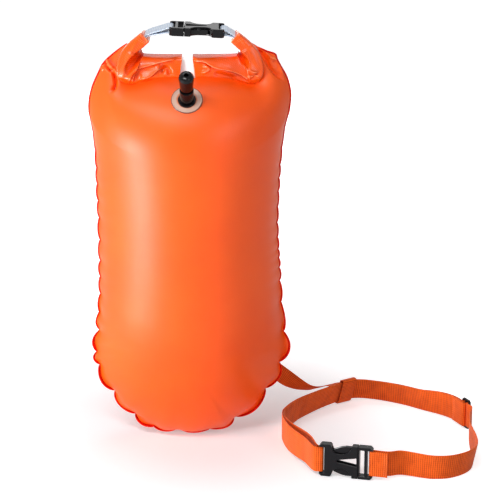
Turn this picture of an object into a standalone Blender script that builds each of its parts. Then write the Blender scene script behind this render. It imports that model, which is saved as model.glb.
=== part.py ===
# Open water swim buoy: a welded roll-top dry bag with an oral valve, a tow leash and a waist belt.
# Metres, +Z up. The origin is under the bag's lowest rim point, the valve side faces -Y,
# and the belt lies on the ground towards +X.

import math

import bmesh
import bpy
import numpy as np
from mathutils import Matrix, Vector

# Bag sizes
BAG_HALF_WIDTH = 0.1395        # widest half width of the weld line
BAG_HALF_DEPTH = 0.084         # bulge of each panel at the widest
BAG_ARC_HEIGHT = 0.142         # height of the round bottom
BAG_FULL_HEIGHT = 0.200        # height at which the bottom bulge is complete
BAG_SHOULDER_HEIGHT = 0.440    # where the top begins to close, on the centre line
BAG_SHOULDER_END_HEIGHT = 0.492
BAG_SHOULDER_PULL_HEIGHT = 0.520
BAG_CORNER_PULL_HEIGHT = 0.568
BAG_FABRIC = 0.0008
PILLOW_POWER = 0.75
WAIST_HEIGHT_SHARES = (0.0, 0.16, 0.33, 0.50, 0.67, 0.84, 1.0)
WAIST_WIDTH_SHARES = (1.0, 0.955, 0.93, 0.915, 0.925, 0.95, 1.01)
SHOULDER_END_WIDTH_SHARE = 0.985
BAG_TOP_SHIFT = 0.004          # the top sits a little to the right of the bottom
BAG_SINK = 0.010               # how far the round bottom is flattened by the ground
BAG_SINK_BLEND = 0.008
MOUTH_TUCK = 0.0145            # half depth of the bag where it meets the roll
FABRIC_GAP = 0.0006            # gap left between sheets that lie on each other
MESH_GAP = 0.0003              # gap left between solids that touch

# Weld rim sizes
RIM_THICKNESS = 0.0014
RIM_INNER = 0.0035             # how far the rim reaches inside the weld line
RIM_OUTER = 0.0042             # how far it stands outside the weld line
RIM_SCALLOP = 0.0021           # depth of the gathers
RIM_BOTTOM_LOBES = 13
RIM_SIDE_LOBES = 11
RIM_STEPS_PER_LOBE = 6
RIM_FOOT_HALF_WIDTH = 0.036    # flat stretch of rim the bag stands on
RIM_TOP_SHARE = 0.78           # place up the closing top where the rim ends, under the roll

# Rolled mouth sizes, as outer and inner points of the roll seen from the front
ROLL_BASE = 0.541
ROLL_HEIGHT = 0.0355
ROLL_HALF_DEPTH = 0.0185
EAR_HALF_DEPTH = 0.0225
EAR_REACH = 0.104              # how far the folded ends reach to each side
EAR_RISE = 0.070               # how far the ends rise above the roll's underside
ROLL_OUTER_X_SHARES = (0.0, 0.22, 0.44, 0.64, 0.82, 0.95, 1.0, 0.955, 0.84, 0.673)
ROLL_OUTER_Z_SHARES = (0.0, 0.0, 0.0, -0.012, -0.045, 0.05, 0.26, 0.55, 0.79, 1.0)
ROLL_INNER_X_SHARES = (0.0, 0.21, 0.41, 0.56, 0.63, 0.655, 0.665, 0.66, 0.63, 0.553)
ROLL_INNER_Z_SHARES = (0.0, 0.0, 0.0, 0.01, 0.03, 0.07, 0.13, 0.23, 0.40, 0.623)
ROLL_CORNER_POWER = 0.55
ROLL_SECTION_POINTS = 16
NOTCH_TOP_WIDTH = 0.0150
NOTCH_BASE_WIDTH = 0.0230
NOTCH_CROWN_DEPTH = 0.0035
TAPE_LENGTH = 0.120
TAPE_HEIGHT = 0.0330
TAPE_THICKNESS = 0.0016
TAPE_SETBACK = 0.0080          # how far the tape's middle lies behind the roll's front

# Closure tabs and webbing sizes
WEB_WIDTH = 0.038
WEB_THICKNESS = 0.0016
LEASH_WIDTH = 0.025
LEASH_THICKNESS = 0.0014
TAB_SEAT = 0.016               # how far a tab reaches into the roll's end
TAB_SLOT_SIDE_GAP = 0.0008

# Side-release buckle sizes, length along x, width along y, thickness along z
BUCKLE_LENGTH = 0.077
BUCKLE_HALF_WIDTH = 0.0245
BUCKLE_THICKNESS = 0.0120
BUCKLE_PLATE = 0.0026
FEMALE_LENGTH = 0.0560
FEMALE_BLOCK = 0.0160          # solid stretch at the webbing end
FEMALE_WAIST = 0.0108          # half width at the bottom of the side notches
FEMALE_SHOULDER = 0.0090       # length of the closed stretch at the mouth
FEMALE_WALL = 0.0037
FEMALE_CORNER = 0.0015
BAR_LENGTH = 0.0034
BAR_THICKNESS = 0.0032
WEB_SLOT = 0.0042
SLOT_HALF_WIDTH = 0.0198
WINDOW_LENGTH = 0.0285
WINDOW_HALF_WIDTH = 0.0068
WINDOW_TIP_HALF_WIDTH = 0.0018
WINDOW_RIM = 0.0022
MALE_SLOT_LENGTH = 0.0070
MALE_FRONT_BAR = 0.0018
MALE_CORNER = 0.0035
ARM_PIVOT_SETBACK = 0.0022
ARM_PIVOT_OFFSET = 0.0153
ARM_ROOT_RADIUS = 0.0022
ARM_THICKNESS = 0.0060
ARM_TIP_MARGIN = 0.0030
ARM_PAD_OFFSET = 0.0222
BUCKLE_EDGE = 0.0007
CLEARANCE = 0.0003

# Top buckle place
TOP_BUCKLE_X = 0.0135
TOP_BUCKLE_Z = 0.6130
TOP_BUCKLE_SLOPE = math.radians(2.7)

# Belt buckle place and belt loop sizes
BELT_BUCKLE_X = 0.2250
BELT_BUCKLE_Y = -0.1600
BELT_BUCKLE_TURN = math.radians(-13.0)
BELT_SPAN_X = 0.287
BELT_SPAN_Y = 0.300
BELT_MIDDLE_X = 0.2815
BELT_MIDDLE_Y = -0.018
BELT_LAYER_GAP = 0.0006
BELT_SLACK = 0.0070            # how far the inner layer bellies out beside the buckle
BELT_TAB_LENGTH = 0.0230
BELT_STEP = 0.0100

# The belt's route seen from above, from the male buckle to the female one, as shares of its span
BELT_BEFORE_SLIDER_SHARES = (
    (0.075, -0.483), (0.235, -0.503), (0.308, -0.495), (0.381, -0.453), (0.426, -0.400), (0.446, -0.340),
    (0.456, -0.267), (0.458, -0.180), (0.461, -0.093), (0.468, -0.025),
)
BELT_AFTER_SLIDER_SHARES = (
    (0.362, 0.262), (0.270, 0.348), (0.130, 0.446), (0.010, 0.488), (-0.095, 0.494),
)
BELT_LOOP_SHARES = (-0.165, 0.463)
BELT_AFTER_LOOP_SHARES = (
    (-0.235, 0.410), (-0.335, 0.322), (-0.415, 0.228), (-0.475, 0.110), (-0.500, 0.004),
    (-0.484, -0.125), (-0.440, -0.248), (-0.398, -0.335),
)
SLIDER_PLACE_SHARES = (0.458, 0.116)
SLIDER_TURN = math.radians(116.0)

# How the belt leans inwards from one end of its route to the other
LEAN_ROUTE_SHARES = (0.0, 0.10, 0.20, 0.28, 0.38, 0.46, 0.56, 0.66, 0.73, 0.81, 0.87, 0.93, 1.0)
LEAN_DEGREES = (0.0, -6.0, -12.0, 2.0, 2.0, 15.0, 21.0, 20.0, 12.0, -1.0, 2.0, 6.0, 0.0)

# Slider sizes, length along the strap, width across it
SLIDER_LENGTH = 0.0200
SLIDER_WIDTH = 0.0460
SLIDER_THICKNESS = 0.0030
SLIDER_BAR = 0.0040
SLIDER_SLOT = 0.0050
SLIDER_CORNER = 0.0030

# Leash anchor sizes
ANCHOR_WIDTH_SHARE = 0.30      # place across the back panel, 0 at the middle and 1 at the rim
ANCHOR_HEIGHT_SHARE = 0.442    # place up the round bottom
PATCH_HALF_WIDTH = 0.0240
PATCH_HALF_HEIGHT = 0.0280
PATCH_THICKNESS = 0.0010
KEEPER_HEIGHT = 0.0220
KEEPER_THICKNESS = 0.0012
KEEPER_FOOT = 0.0150
KEEPER_NECK = 0.0040
RING_WIRE = 0.0030
RING_STANDOFF = 0.0085
RING_SPACING = 0.0140
RING_INNER_HEIGHT = 0.0280
RING_CORNER = 0.0040
RING_TURN = math.radians(27.0)
LEASH_TAB = 0.0220

# The leash's way from the ring to the belt loop, chosen by hand, middle of the webbing
LEASH_ROUTE = (
    (0.119, 0.0725, 0.082), (0.137, 0.0765, 0.064), (0.155, 0.084, 0.048),
    (0.173, 0.096, 0.034), (0.189, 0.112, 0.0255), (0.203, 0.131, 0.0205),
)
LEASH_TWIST_START = 0.03        # share of the free run where the twist begins
LEASH_TWIST_LENGTH = 0.62
LEASH_LOOP_SLACK = 0.0016
LEASH_LOOP_LEAD = 0.0300

# Valve sizes, along the valve's own axis from the panel's surface
VALVE_HEIGHT_SHARE = 0.68      # place up the closing top
VALVE_TUBE_RADIUS = 0.0099
VALVE_TUBE_BORE = 0.0070
VALVE_TUBE_TOP = 0.0270
VALVE_TUBE_FOOT = 0.0080       # how far the tube reaches inside the bag
VALVE_SEAT_RADIUS = 0.0045
VALVE_SEAT_THICKNESS = 0.0020
VALVE_TRAVEL = 0.0030
VALVE_STOP_GAP = 0.0034
MOUTHPIECE_BASE_RADIUS = 0.0090
MOUTHPIECE_TOP_RADIUS = 0.0107
MOUTHPIECE_LENGTH = 0.0300
MOUTHPIECE_BORE = 0.0052
MOUTHPIECE_HOLE = 0.0034
MOUTHPIECE_CROWN = 0.0070
MOUTHPIECE_SLEEVE = 0.0120
BRIDGE_THICKNESS = 0.0022
BRIDGE_SETBACK = 0.0090
STEM_RADIUS = 0.0016
POPPET_RADIUS = 0.0062
POPPET_THICKNESS = 0.0016
SEAL_THICKNESS = 0.0018
SPRING_WIRE = 0.0009
SPRING_TURNS = 6
SPRING_POINTS_PER_TURN = 10
FLANGE_RADIUS = 0.0230
FLANGE_THICKNESS = 0.0011
FLANGE_COLLAR_RADIUS = 0.0128
FLANGE_COLLAR_HEIGHT = 0.0034
CUT_OVERRUN = 0.0050

ROUND_STEPS = 32


def clear_scene():
    for item in list(bpy.data.objects):
        bpy.data.objects.remove(item, do_unlink=True)


def new_collection(name):
    collection = bpy.data.collections.new(name)
    bpy.context.scene.collection.children.link(collection)
    return collection


def finish(name, colour, roughness, metallic=0.0, transmission=0.0):
    material = bpy.data.materials.new(name)
    material.use_nodes = True
    shader = material.node_tree.nodes["Principled BSDF"]
    shader.inputs["Base Color"].default_value = (*colour, 1.0)
    shader.inputs["Roughness"].default_value = roughness
    shader.inputs["Metallic"].default_value = metallic
    shader.inputs["Transmission Weight"].default_value = transmission
    material.diffuse_color = (*colour, 1.0)
    return material


def add_object(name, mesh, collection, colour, roughness, metallic=0.0, transmission=0.0):
    item = bpy.data.objects.new(name, mesh)
    collection.objects.link(item)
    mesh.materials.clear()
    mesh.materials.append(finish(name + "_finish", colour, roughness, metallic, transmission))
    return item


def add_cutter(name, mesh, cutters, place=None):
    item = bpy.data.objects.new(name, mesh)
    cutters.objects.link(item)
    item.hide_render = True
    item.display_type = "WIRE"
    if place is not None:
        item.matrix_world = place
    return item


def cut(item, cutter):
    modifier = item.modifiers.new("cut_" + cutter.name, "BOOLEAN")
    modifier.operation = "DIFFERENCE"
    modifier.solver = "EXACT"
    modifier.object = cutter


def thicken(item, thickness, offset):
    modifier = item.modifiers.new("wall", "SOLIDIFY")
    modifier.thickness = thickness
    modifier.offset = offset
    modifier.use_even_offset = True


def smooth(mesh, angle=math.radians(40.0)):
    mesh.shade_smooth()
    mesh.set_sharp_from_angle(angle=angle)


def sheet_mesh(name, rows, closed=False):
    """Open surface through equal rows of points."""
    rows = [list(row) for row in rows]
    count = len(rows[0])
    points = [tuple(point) for row in rows for point in row]
    faces = []
    for i in range(len(rows) - 1):
        for j in range(count if closed else count - 1):
            k = (j + 1) % count
            faces.append((i * count + j, i * count + k, (i + 1) * count + k, (i + 1) * count + j))
    mesh = bpy.data.meshes.new(name)
    mesh.from_pydata(points, [], faces)
    mesh.update()
    return mesh


def loft_mesh(name, sections):
    """Closed solid through equal closed sections, with flat ends."""
    count = len(sections[0])
    points = [tuple(point) for section in sections for point in section]
    faces = []
    for i in range(len(sections) - 1):
        for j in range(count):
            k = (j + 1) % count
            faces.append((i * count + j, i * count + k, (i + 1) * count + k, (i + 1) * count + j))
    faces.append(tuple(reversed(range(count))))
    last = (len(sections) - 1) * count
    faces.append(tuple(range(last, last + count)))
    mesh = bpy.data.meshes.new(name)
    mesh.from_pydata(points, [], faces)
    work = bmesh.new()
    work.from_mesh(mesh)
    bmesh.ops.recalc_face_normals(work, faces=work.faces)
    work.to_mesh(mesh)
    work.free()
    return mesh


def box_mesh(name, low, high):
    work = bmesh.new()
    bmesh.ops.create_cube(work, size=1.0)
    low, high = Vector(low), Vector(high)
    for vert in work.verts:
        for axis in range(3):
            vert.co[axis] = low[axis] if vert.co[axis] < 0.0 else high[axis]
    mesh = bpy.data.meshes.new(name)
    work.to_mesh(mesh)
    work.free()
    return mesh


def drum_mesh(name, radius, low, high, steps=ROUND_STEPS):
    work = bmesh.new()
    place = Matrix.Translation((0.0, 0.0, (low + high) / 2))
    bmesh.ops.create_cone(work, cap_ends=True, segments=steps, radius1=radius, radius2=radius,
                          depth=high - low, matrix=place)
    mesh = bpy.data.meshes.new(name)
    work.to_mesh(mesh)
    work.free()
    return mesh


def outline_mesh(name, points, thickness, holes=()):
    """Flat outline, with holes, given its thickness on both sides of z = 0."""
    curve = bpy.data.curves.new(name, "CURVE")
    curve.dimensions = "2D"
    curve.fill_mode = "BOTH"
    curve.extrude = thickness / 2
    for loop in (points, *holes):
        spline = curve.splines.new("POLY")
        spline.points.add(len(loop) - 1)
        for point, (x, y) in zip(spline.points, loop):
            point.co = (x, y, 0.0, 1.0)
        spline.use_cyclic_u = True
    return welded_mesh(name, curve)


def welded_mesh(name, curve):
    """Mesh of a curve with its caps joined to its sides."""
    holder = bpy.data.objects.new(name + "_curve", curve)
    bpy.context.scene.collection.objects.link(holder)
    graph = bpy.context.evaluated_depsgraph_get()
    mesh = bpy.data.meshes.new_from_object(holder.evaluated_get(graph))
    bpy.data.objects.remove(holder, do_unlink=True)
    work = bmesh.new()
    work.from_mesh(mesh)
    bmesh.ops.remove_doubles(work, verts=work.verts, dist=MESH_GAP / 30)
    bmesh.ops.recalc_face_normals(work, faces=work.faces)
    work.to_mesh(mesh)
    work.free()
    mesh.name = name
    return mesh


def tube_mesh(name, points, radius, closed=False, resolution=1):
    curve = bpy.data.curves.new(name, "CURVE")
    curve.dimensions = "3D"
    curve.bevel_depth = radius
    curve.bevel_resolution = resolution
    curve.use_fill_caps = not closed
    spline = curve.splines.new("POLY")
    spline.points.add(len(points) - 1)
    for point, place in zip(spline.points, points):
        point.co = (*place, 1.0)
    spline.use_cyclic_u = closed
    return welded_mesh(name, curve)


def add_turned(name, profile, collection, colour, roughness, transmission=0.0):
    """Turned solid: the profile runs down the outer side at +X and is closed into a loop."""
    mesh = bpy.data.meshes.new(name)
    edges = [(i, i + 1) for i in range(len(profile) - 1)]
    if profile[0][0] > 0.0:
        edges.append((len(profile) - 1, 0))
    mesh.from_pydata([(r, 0.0, z) for r, z in profile], edges, [])
    item = add_object(name, mesh, collection, colour, roughness, transmission=transmission)
    screw = item.modifiers.new("turn", "SCREW")
    screw.steps = ROUND_STEPS
    screw.render_steps = ROUND_STEPS
    screw.use_merge_vertices = True
    screw.merge_threshold = MESH_GAP / 30
    screw.use_smooth_shade = True
    return item


def smooth_through(points, step):
    """Points a step apart on a centripetal curve through the given points."""
    points = np.array(points, float)
    first = 2 * points[0] - points[1]
    last = 2 * points[-1] - points[-2]
    fence = np.vstack([first, points, last])
    result = [points[0]]
    for i in range(1, len(fence) - 2):
        p0, p1, p2, p3 = fence[i - 1:i + 3]
        knots = [0.0]
        for a, b in ((p0, p1), (p1, p2), (p2, p3)):
            knots.append(knots[-1] + math.sqrt(np.linalg.norm(b - a)))
        t0, t1, t2, t3 = knots
        count = max(1, round(np.linalg.norm(p2 - p1) / step))
        for t in np.linspace(t1, t2, count + 1)[1:]:
            a1 = (t1 - t) / (t1 - t0) * p0 + (t - t0) / (t1 - t0) * p1
            a2 = (t2 - t) / (t2 - t1) * p1 + (t - t1) / (t2 - t1) * p2
            a3 = (t3 - t) / (t3 - t2) * p2 + (t - t2) / (t3 - t2) * p3
            b1 = (t2 - t) / (t2 - t0) * a1 + (t - t0) / (t2 - t0) * a2
            b2 = (t3 - t) / (t3 - t1) * a2 + (t - t1) / (t3 - t1) * a3
            result.append((t2 - t) / (t2 - t1) * b1 + (t - t1) / (t2 - t1) * b2)
    return np.array(result)


def lengths_along(points):
    steps = np.linalg.norm(np.diff(points, axis=0), axis=1)
    return np.concatenate([[0.0], np.cumsum(steps)])


def at_share(points, share):
    """Point at a share of a polyline's length."""
    along = lengths_along(points)
    want = share * along[-1]
    return np.array([np.interp(want, along, points[:, k]) for k in range(points.shape[1])])


# The bag


def roll_outline():
    """Outer and inner points of the roll's right half, seen from the front, as x and z."""
    outer = [(x * EAR_REACH, ROLL_BASE + z * EAR_RISE)
             for x, z in zip(ROLL_OUTER_X_SHARES, ROLL_OUTER_Z_SHARES)]
    crown = ROLL_BASE + ROLL_HEIGHT
    inner = [(x * EAR_REACH, crown + z * (EAR_RISE - ROLL_HEIGHT))
             for x, z in zip(ROLL_INNER_X_SHARES, ROLL_INNER_Z_SHARES)]
    return np.array(outer), np.array(inner)


def waist_width(height):
    """Half width of the weld line at a height between the bottom arc and the shoulders."""
    share = (height - BAG_ARC_HEIGHT) / (BAG_SHOULDER_END_HEIGHT - BAG_ARC_HEIGHT)
    knots = np.column_stack([WAIST_HEIGHT_SHARES, WAIST_WIDTH_SHARES])
    line = smooth_through(knots, 0.02)
    return BAG_HALF_WIDTH * float(np.interp(share, line[:, 0], line[:, 1]))


def seam_depth():
    """Half depth of the bag's outer faces along the weld line."""
    return RIM_THICKNESS / 2 + MESH_GAP + BAG_FABRIC


def mouth_edge(u):
    """Edge of the bag under the roll: x, half depth and z for u from -1 to 1."""
    outer, _ = roll_outline()
    run = outer[:-1]
    x, z = at_share(run, abs(u))
    ahead_x, ahead_z = at_share(run, min(1.0, abs(u) + 0.02))
    back_x, back_z = at_share(run, max(0.0, abs(u) - 0.02))
    along = Vector((ahead_x - back_x, ahead_z - back_z)).normalized()
    lift = FABRIC_GAP + MESH_GAP / 3
    x += along.y * lift
    z -= along.x * lift
    seam = seam_depth()
    depth = seam + (MOUTH_TUCK - seam) * (1.0 - abs(u) ** 4)
    return math.copysign(x, u), depth, z


def ease(value):
    value = np.clip(value, 0.0, 1.0)
    return value * value * (3.0 - 2.0 * value)


def sunk(height):
    """Height above the lowest weld point once the ground has flattened the round bottom."""
    def pressed(value):
        value -= BAG_SINK * max(0.0, 1.0 - value / BAG_ARC_HEIGHT)
        return (value + math.hypot(value, BAG_SINK_BLEND)) / 2
    return pressed(height) - pressed(0.0)


def bag_point(u, v):
    """Point of the front panel's outer face. u runs from rim to rim, v from the bottom to the roll.

    v from 0 to 1 is the round bottom, from 1 to 2 the middle and from 2 to 3 the closing top.
    The rows bow down into the bottom arc, lie level in the middle and follow the roll at the top.
    """
    across = math.sin(u * math.pi / 2)
    bow = 1.0 - math.cos(u * math.pi / 2)
    pillow = max(0.0, math.cos(u * math.pi / 2)) ** (2 * PILLOW_POWER)
    seam = seam_depth()
    if v <= 1.0:
        end_height = BAG_ARC_HEIGHT + v * (BAG_FULL_HEIGHT - BAG_ARC_HEIGHT)
        height = v * BAG_FULL_HEIGHT
        rise = max(0.0, 1.0 - (1.0 - v) ** 2) ** PILLOW_POWER
        place = (waist_width(end_height) * across, seam + BAG_HALF_DEPTH * pillow * rise,
                 height + (end_height - height) * bow)
        return np.array((place[0], -place[1], sunk(place[2]) + RIM_OUTER))
    low = min(v, 2.0) - 1.0
    height = BAG_FULL_HEIGHT + low * (BAG_SHOULDER_HEIGHT - BAG_FULL_HEIGHT)
    end_height = BAG_FULL_HEIGHT + low * (BAG_SHOULDER_END_HEIGHT - BAG_FULL_HEIGHT)
    body = np.array((waist_width(end_height) * across, -seam - BAG_HALF_DEPTH * pillow,
                     sunk(height + (end_height - height) * bow) + RIM_OUTER))
    if v <= 2.0:
        return body
    t = v - 2.0
    pull_height = BAG_SHOULDER_PULL_HEIGHT + (BAG_CORNER_PULL_HEIGHT - BAG_SHOULDER_PULL_HEIGHT) * bow ** 2
    pull = np.array((body[0] * SHOULDER_END_WIDTH_SHARE, body[1], pull_height))
    x, depth, z = mouth_edge(u)
    edge = np.array((x, -depth, z))
    place = (1 - t) ** 2 * body + 2 * t * (1 - t) * pull + t ** 2 * edge
    return place + (BAG_TOP_SHIFT * ease(2 * t), 0.0, 0.0)


def bag_frame(u, v):
    """Place, unit directions across and up the panel, outward normal, and lengths per unit."""
    small = 0.002
    place = bag_point(u, v)
    across = (bag_point(u + small, v) - bag_point(u - small, v)) / (2 * small)
    upward = (bag_point(u, v + small) - bag_point(u, v - small)) / (2 * small)
    normal = np.cross(across, upward)
    normal /= np.linalg.norm(normal)
    return place, across, upward, normal


def bag_rows():
    outer, _ = roll_outline()
    run = lengths_along(outer[:-1])
    half = run / run[-1]
    columns = np.concatenate([-half[:0:-1], half])
    low = 1.0 - np.cos(np.linspace(0.0, math.pi / 2, 8))
    middle = np.linspace(1.0, 2.0, 6)[1:]
    top = np.linspace(2.0, 3.0, 10)[1:]
    return [[bag_point(u, v) for u in columns] for v in (*low, *middle, *top)]


def add_panels(parts, cutters, orange):
    rows = bag_rows()
    front = sheet_mesh("front_panel", rows)
    back = sheet_mesh("back_panel", [[point * (1.0, -1.0, 1.0) for point in row] for row in rows])
    back.flip_normals()
    for mesh in (front, back):
        mesh.shade_smooth()
    panel = add_object("front_panel", front, parts, orange, 0.42)
    rear = add_object("back_panel", back, parts, orange, 0.42)
    for item in (panel, rear):
        thicken(item, BAG_FABRIC, -1.0)
    hole = add_cutter("valve_hole", drum_mesh("valve_hole", VALVE_TUBE_RADIUS + MESH_GAP,
                                              -VALVE_TUBE_FOOT, VALVE_TUBE_FOOT),
                      cutters, valve_place())
    cut(panel, hole)
    return panel, rear


def seam_line():
    """Weld line from the top left, round the bottom, to the top right, as x and z."""
    right = np.array([bag_point(1.0, v)[[0, 2]] for v in np.linspace(2.0 + RIM_TOP_SHARE, 0.0, 90)])
    bottom = np.array([bag_point(u, 0.0)[[0, 2]] for u in np.linspace(1.0, -1.0, 90)])
    left = np.array([bag_point(-1.0, v)[[0, 2]] for v in np.linspace(0.0, 2.0 + RIM_TOP_SHARE, 90)])
    return right, bottom[1:-1], left


def add_rim(parts, colour):
    """Flat welded rim, gathered into lobes by the air pressure."""
    right, bottom, left = seam_line()
    rows = []
    for line, lobes in ((right, RIM_SIDE_LOBES), (np.vstack([right[-1:], bottom, left[:1]]), RIM_BOTTOM_LOBES),
                        (left, RIM_SIDE_LOBES)):
        steps = lobes * RIM_STEPS_PER_LOBE
        for i in range(steps + 1):
            share = i / steps
            if rows and i == 0:
                continue
            place = at_share(line, share)
            ahead = at_share(line, min(1.0, share + 0.004))
            back = at_share(line, max(0.0, share - 0.004))
            along = (ahead - back) / np.linalg.norm(ahead - back)
            outward = np.array((-along[1], along[0]))
            gather = RIM_SCALLOP * (1.0 - abs(math.sin(math.pi * share * lobes)))
            outer = place + outward * (RIM_OUTER - gather)
            if abs(outer[0]) < RIM_FOOT_HALF_WIDTH and outer[1] < BAG_ARC_HEIGHT / 4:
                outer[1] = 0.0
            inner = place - outward * RIM_INNER
            rows.append(((inner[0], 0.0, inner[1]), (outer[0], 0.0, max(0.0, outer[1]))))
    mesh = sheet_mesh("weld_rim", rows)
    item = add_object("weld_rim", mesh, parts, colour, 0.40)
    thicken(item, RIM_THICKNESS, 0.0)
    return item


def roll_section(outer, inner, half_depth):
    """Rounded section between the outer and inner edge of the roll."""
    middle = (np.array(outer) + np.array(inner)) / 2
    half = (np.array(outer) - np.array(inner)) / 2
    points = []
    for k in range(ROLL_SECTION_POINTS):
        angle = 2 * math.pi * (k + 0.5) / ROLL_SECTION_POINTS
        c, s = math.cos(angle), math.sin(angle)
        along = math.copysign(abs(c) ** ROLL_CORNER_POWER, c)
        deep = math.copysign(abs(s) ** ROLL_CORNER_POWER, s)
        place = middle + half * along
        points.append((place[0], deep * half_depth, place[1]))
    return points


def ear_end():
    """Middle of a roll end's cut face, its outward direction and its half height, seen from the front."""
    outer, inner = roll_outline()
    middle = (outer[-1] + inner[-1]) / 2
    edge = outer[-1] - inner[-1]
    out = np.array((-edge[1], edge[0])) / np.linalg.norm(edge)
    return middle, out, np.linalg.norm(edge) / 2


def add_roll(parts, cutters, orange, white):
    outer, inner = roll_outline()
    count = len(outer)
    sections = []
    for side in (-1, 1):
        order = range(count - 1, 0, -1) if side < 0 else range(count)
        for i in order:
            share = i / (count - 1)
            depth = ROLL_HALF_DEPTH + (EAR_HALF_DEPTH - ROLL_HALF_DEPTH) * min(1.0, 1.6 * share)
            section = roll_section(outer[i], inner[i], depth)
            sections.append([(side * x + BAG_TOP_SHIFT, y, z) for x, y, z in section])
    mesh = loft_mesh("rolled_mouth", sections)
    smooth(mesh)
    roll = add_object("rolled_mouth", mesh, parts, orange, 0.42)

    tape_y = -ROLL_HALF_DEPTH + TAPE_SETBACK
    tape_z = ROLL_BASE + ROLL_HEIGHT / 2
    low = (-TAPE_LENGTH / 2, tape_y - TAPE_THICKNESS / 2, tape_z - TAPE_HEIGHT / 2)
    high = (TAPE_LENGTH / 2, tape_y + TAPE_THICKNESS / 2, tape_z + TAPE_HEIGHT / 2)
    add_object("mouth_stiffener", box_mesh("mouth_stiffener", low, high), parts, white, 0.5)
    room_low = [value - MESH_GAP for value in low]
    room_high = [value + MESH_GAP for value in high]
    room = add_cutter("tape_room", box_mesh("tape_room", room_low, room_high), cutters)
    cut(roll, room)

    top = ROLL_BASE + ROLL_HEIGHT + CUT_OVERRUN
    base = ROLL_BASE - CUT_OVERRUN
    trapezoid = [(-NOTCH_BASE_WIDTH / 2, base), (NOTCH_BASE_WIDTH / 2, base),
                 (NOTCH_TOP_WIDTH / 2, top), (-NOTCH_TOP_WIDTH / 2, top)]
    front = -ROLL_HALF_DEPTH - CUT_OVERRUN
    back = tape_y
    notch = loft_mesh("roll_notch", [[(x, front, z) for x, z in trapezoid],
                                     [(x, back, z) for x, z in trapezoid]])
    cut(roll, add_cutter("roll_notch", notch, cutters))
    crown_low = ROLL_BASE + ROLL_HEIGHT - NOTCH_CROWN_DEPTH
    crown = [(-NOTCH_TOP_WIDTH / 2, crown_low), (NOTCH_TOP_WIDTH / 2, crown_low),
             (NOTCH_TOP_WIDTH / 2, top), (-NOTCH_TOP_WIDTH / 2, top)]
    groove = loft_mesh("crown_notch", [[(x, front, z) for x, z in crown],
                                       [(x, -front, z) for x, z in crown]])
    cut(roll, add_cutter("crown_notch", groove, cutters))

    middle, out, half_height = ear_end()
    layer = WEB_THICKNESS + BELT_LAYER_GAP / 2
    half_slot = layer + 2 * MESH_GAP
    for side, label in ((-1, "left"), (1, "right")):
        room_low = (-TAB_SEAT - MESH_GAP, -WEB_WIDTH / 2 - TAB_SLOT_SIDE_GAP, -half_slot)
        room_high = (CUT_OVERRUN, WEB_WIDTH / 2 + TAB_SLOT_SIDE_GAP, half_slot)
        x_axis = Vector((side * out[0], 0.0, out[1]))
        y_axis = Vector((0.0, 1.0, 0.0))
        place = Matrix((x_axis, y_axis, x_axis.cross(y_axis))).transposed().to_4x4()
        place.translation = (side * middle[0] + BAG_TOP_SHIFT, 0.0, middle[1])
        slot = box_mesh("tab_room_" + label, room_low, room_high)
        cut(roll, add_cutter("tab_room_" + label, slot, cutters, place))
    return roll


# Webbing


def ribbon(name, low_edge, high_edge, thickness, parts, colour, roughness=0.8):
    """Strip of webbing between two edge lines."""
    mesh = sheet_mesh(name, list(zip(low_edge, high_edge)))
    mesh.shade_smooth()
    item = add_object(name, mesh, parts, colour, roughness)
    thicken(item, thickness, 0.0)
    return item


def arc(middle, radius, start, end, count):
    """Points round a middle from one angle to another."""
    return [middle + radius * np.array((math.cos(a), math.sin(a))) for a in np.linspace(start, end, count)]


def fold_radius(thickness):
    """Radius of a strap's middle as it goes round a buckle's bar, clear of the bar's corners."""
    return math.hypot(BAR_LENGTH / 2, BAR_THICKNESS / 2) + MESH_GAP + thickness / 2


def add_closure_tabs(parts, colour):
    """A loop of webbing from each end of the roll round the top buckle's bar."""
    middle, out, _ = ear_end()
    layer = (WEB_THICKNESS + BELT_LAYER_GAP) / 2
    radius = fold_radius(WEB_THICKNESS)
    slope = np.array((math.cos(TOP_BUCKLE_SLOPE), -math.sin(TOP_BUCKLE_SLOPE)))
    centre = np.array((TOP_BUCKLE_X, TOP_BUCKLE_Z))
    reach = BUCKLE_LENGTH / 2 - BAR_LENGTH / 2
    for side, label in ((-1, "left"), (1, "right")):
        bar = centre + slope * reach * side
        exit_way = np.array((side * out[0], out[1]))
        face = np.array((side * middle[0] + BAG_TOP_SHIFT, middle[1]))
        up = np.array((-exit_way[1], exit_way[0])) * -side
        away = slope * side
        rise = np.array((-away[1], away[0])) * side
        start = face - exit_way * TAB_SEAT
        gather = bar + away * radius * 1.3
        lead = exit_way * TAB_SEAT / (4 if side < 0 else 12)
        upper = [start + up * layer, face + up * layer, face + lead + up * layer,
                 gather + rise * radius * 0.92]
        lower = [start - up * layer, face - up * layer, face + lead - up * layer,
                 gather - rise * radius * 0.92]
        turn = math.atan2(away[1], away[0])
        fold = arc(bar, radius, turn + side * math.radians(75), turn + side * math.radians(285), 9)
        upper_line = list(smooth_through(upper, WEB_WIDTH / 8))
        lower_line = list(smooth_through(lower, WEB_WIDTH / 8))
        line = upper_line + fold + lower_line[::-1]
        low_edge = [(x, -WEB_WIDTH / 2, z) for x, z in line]
        high_edge = [(x, WEB_WIDTH / 2, z) for x, z in line]
        ribbon("closure_tab_" + label, low_edge, high_edge, WEB_THICKNESS, parts, colour, 0.4)


# Side-release buckle


def mirrored(points):
    """Closed outline from its upper half, listed from one end of the middle line to the other."""
    lower = [(x, -y) for x, y in reversed(points) if y > 0.0]
    return list(points) + lower


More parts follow.
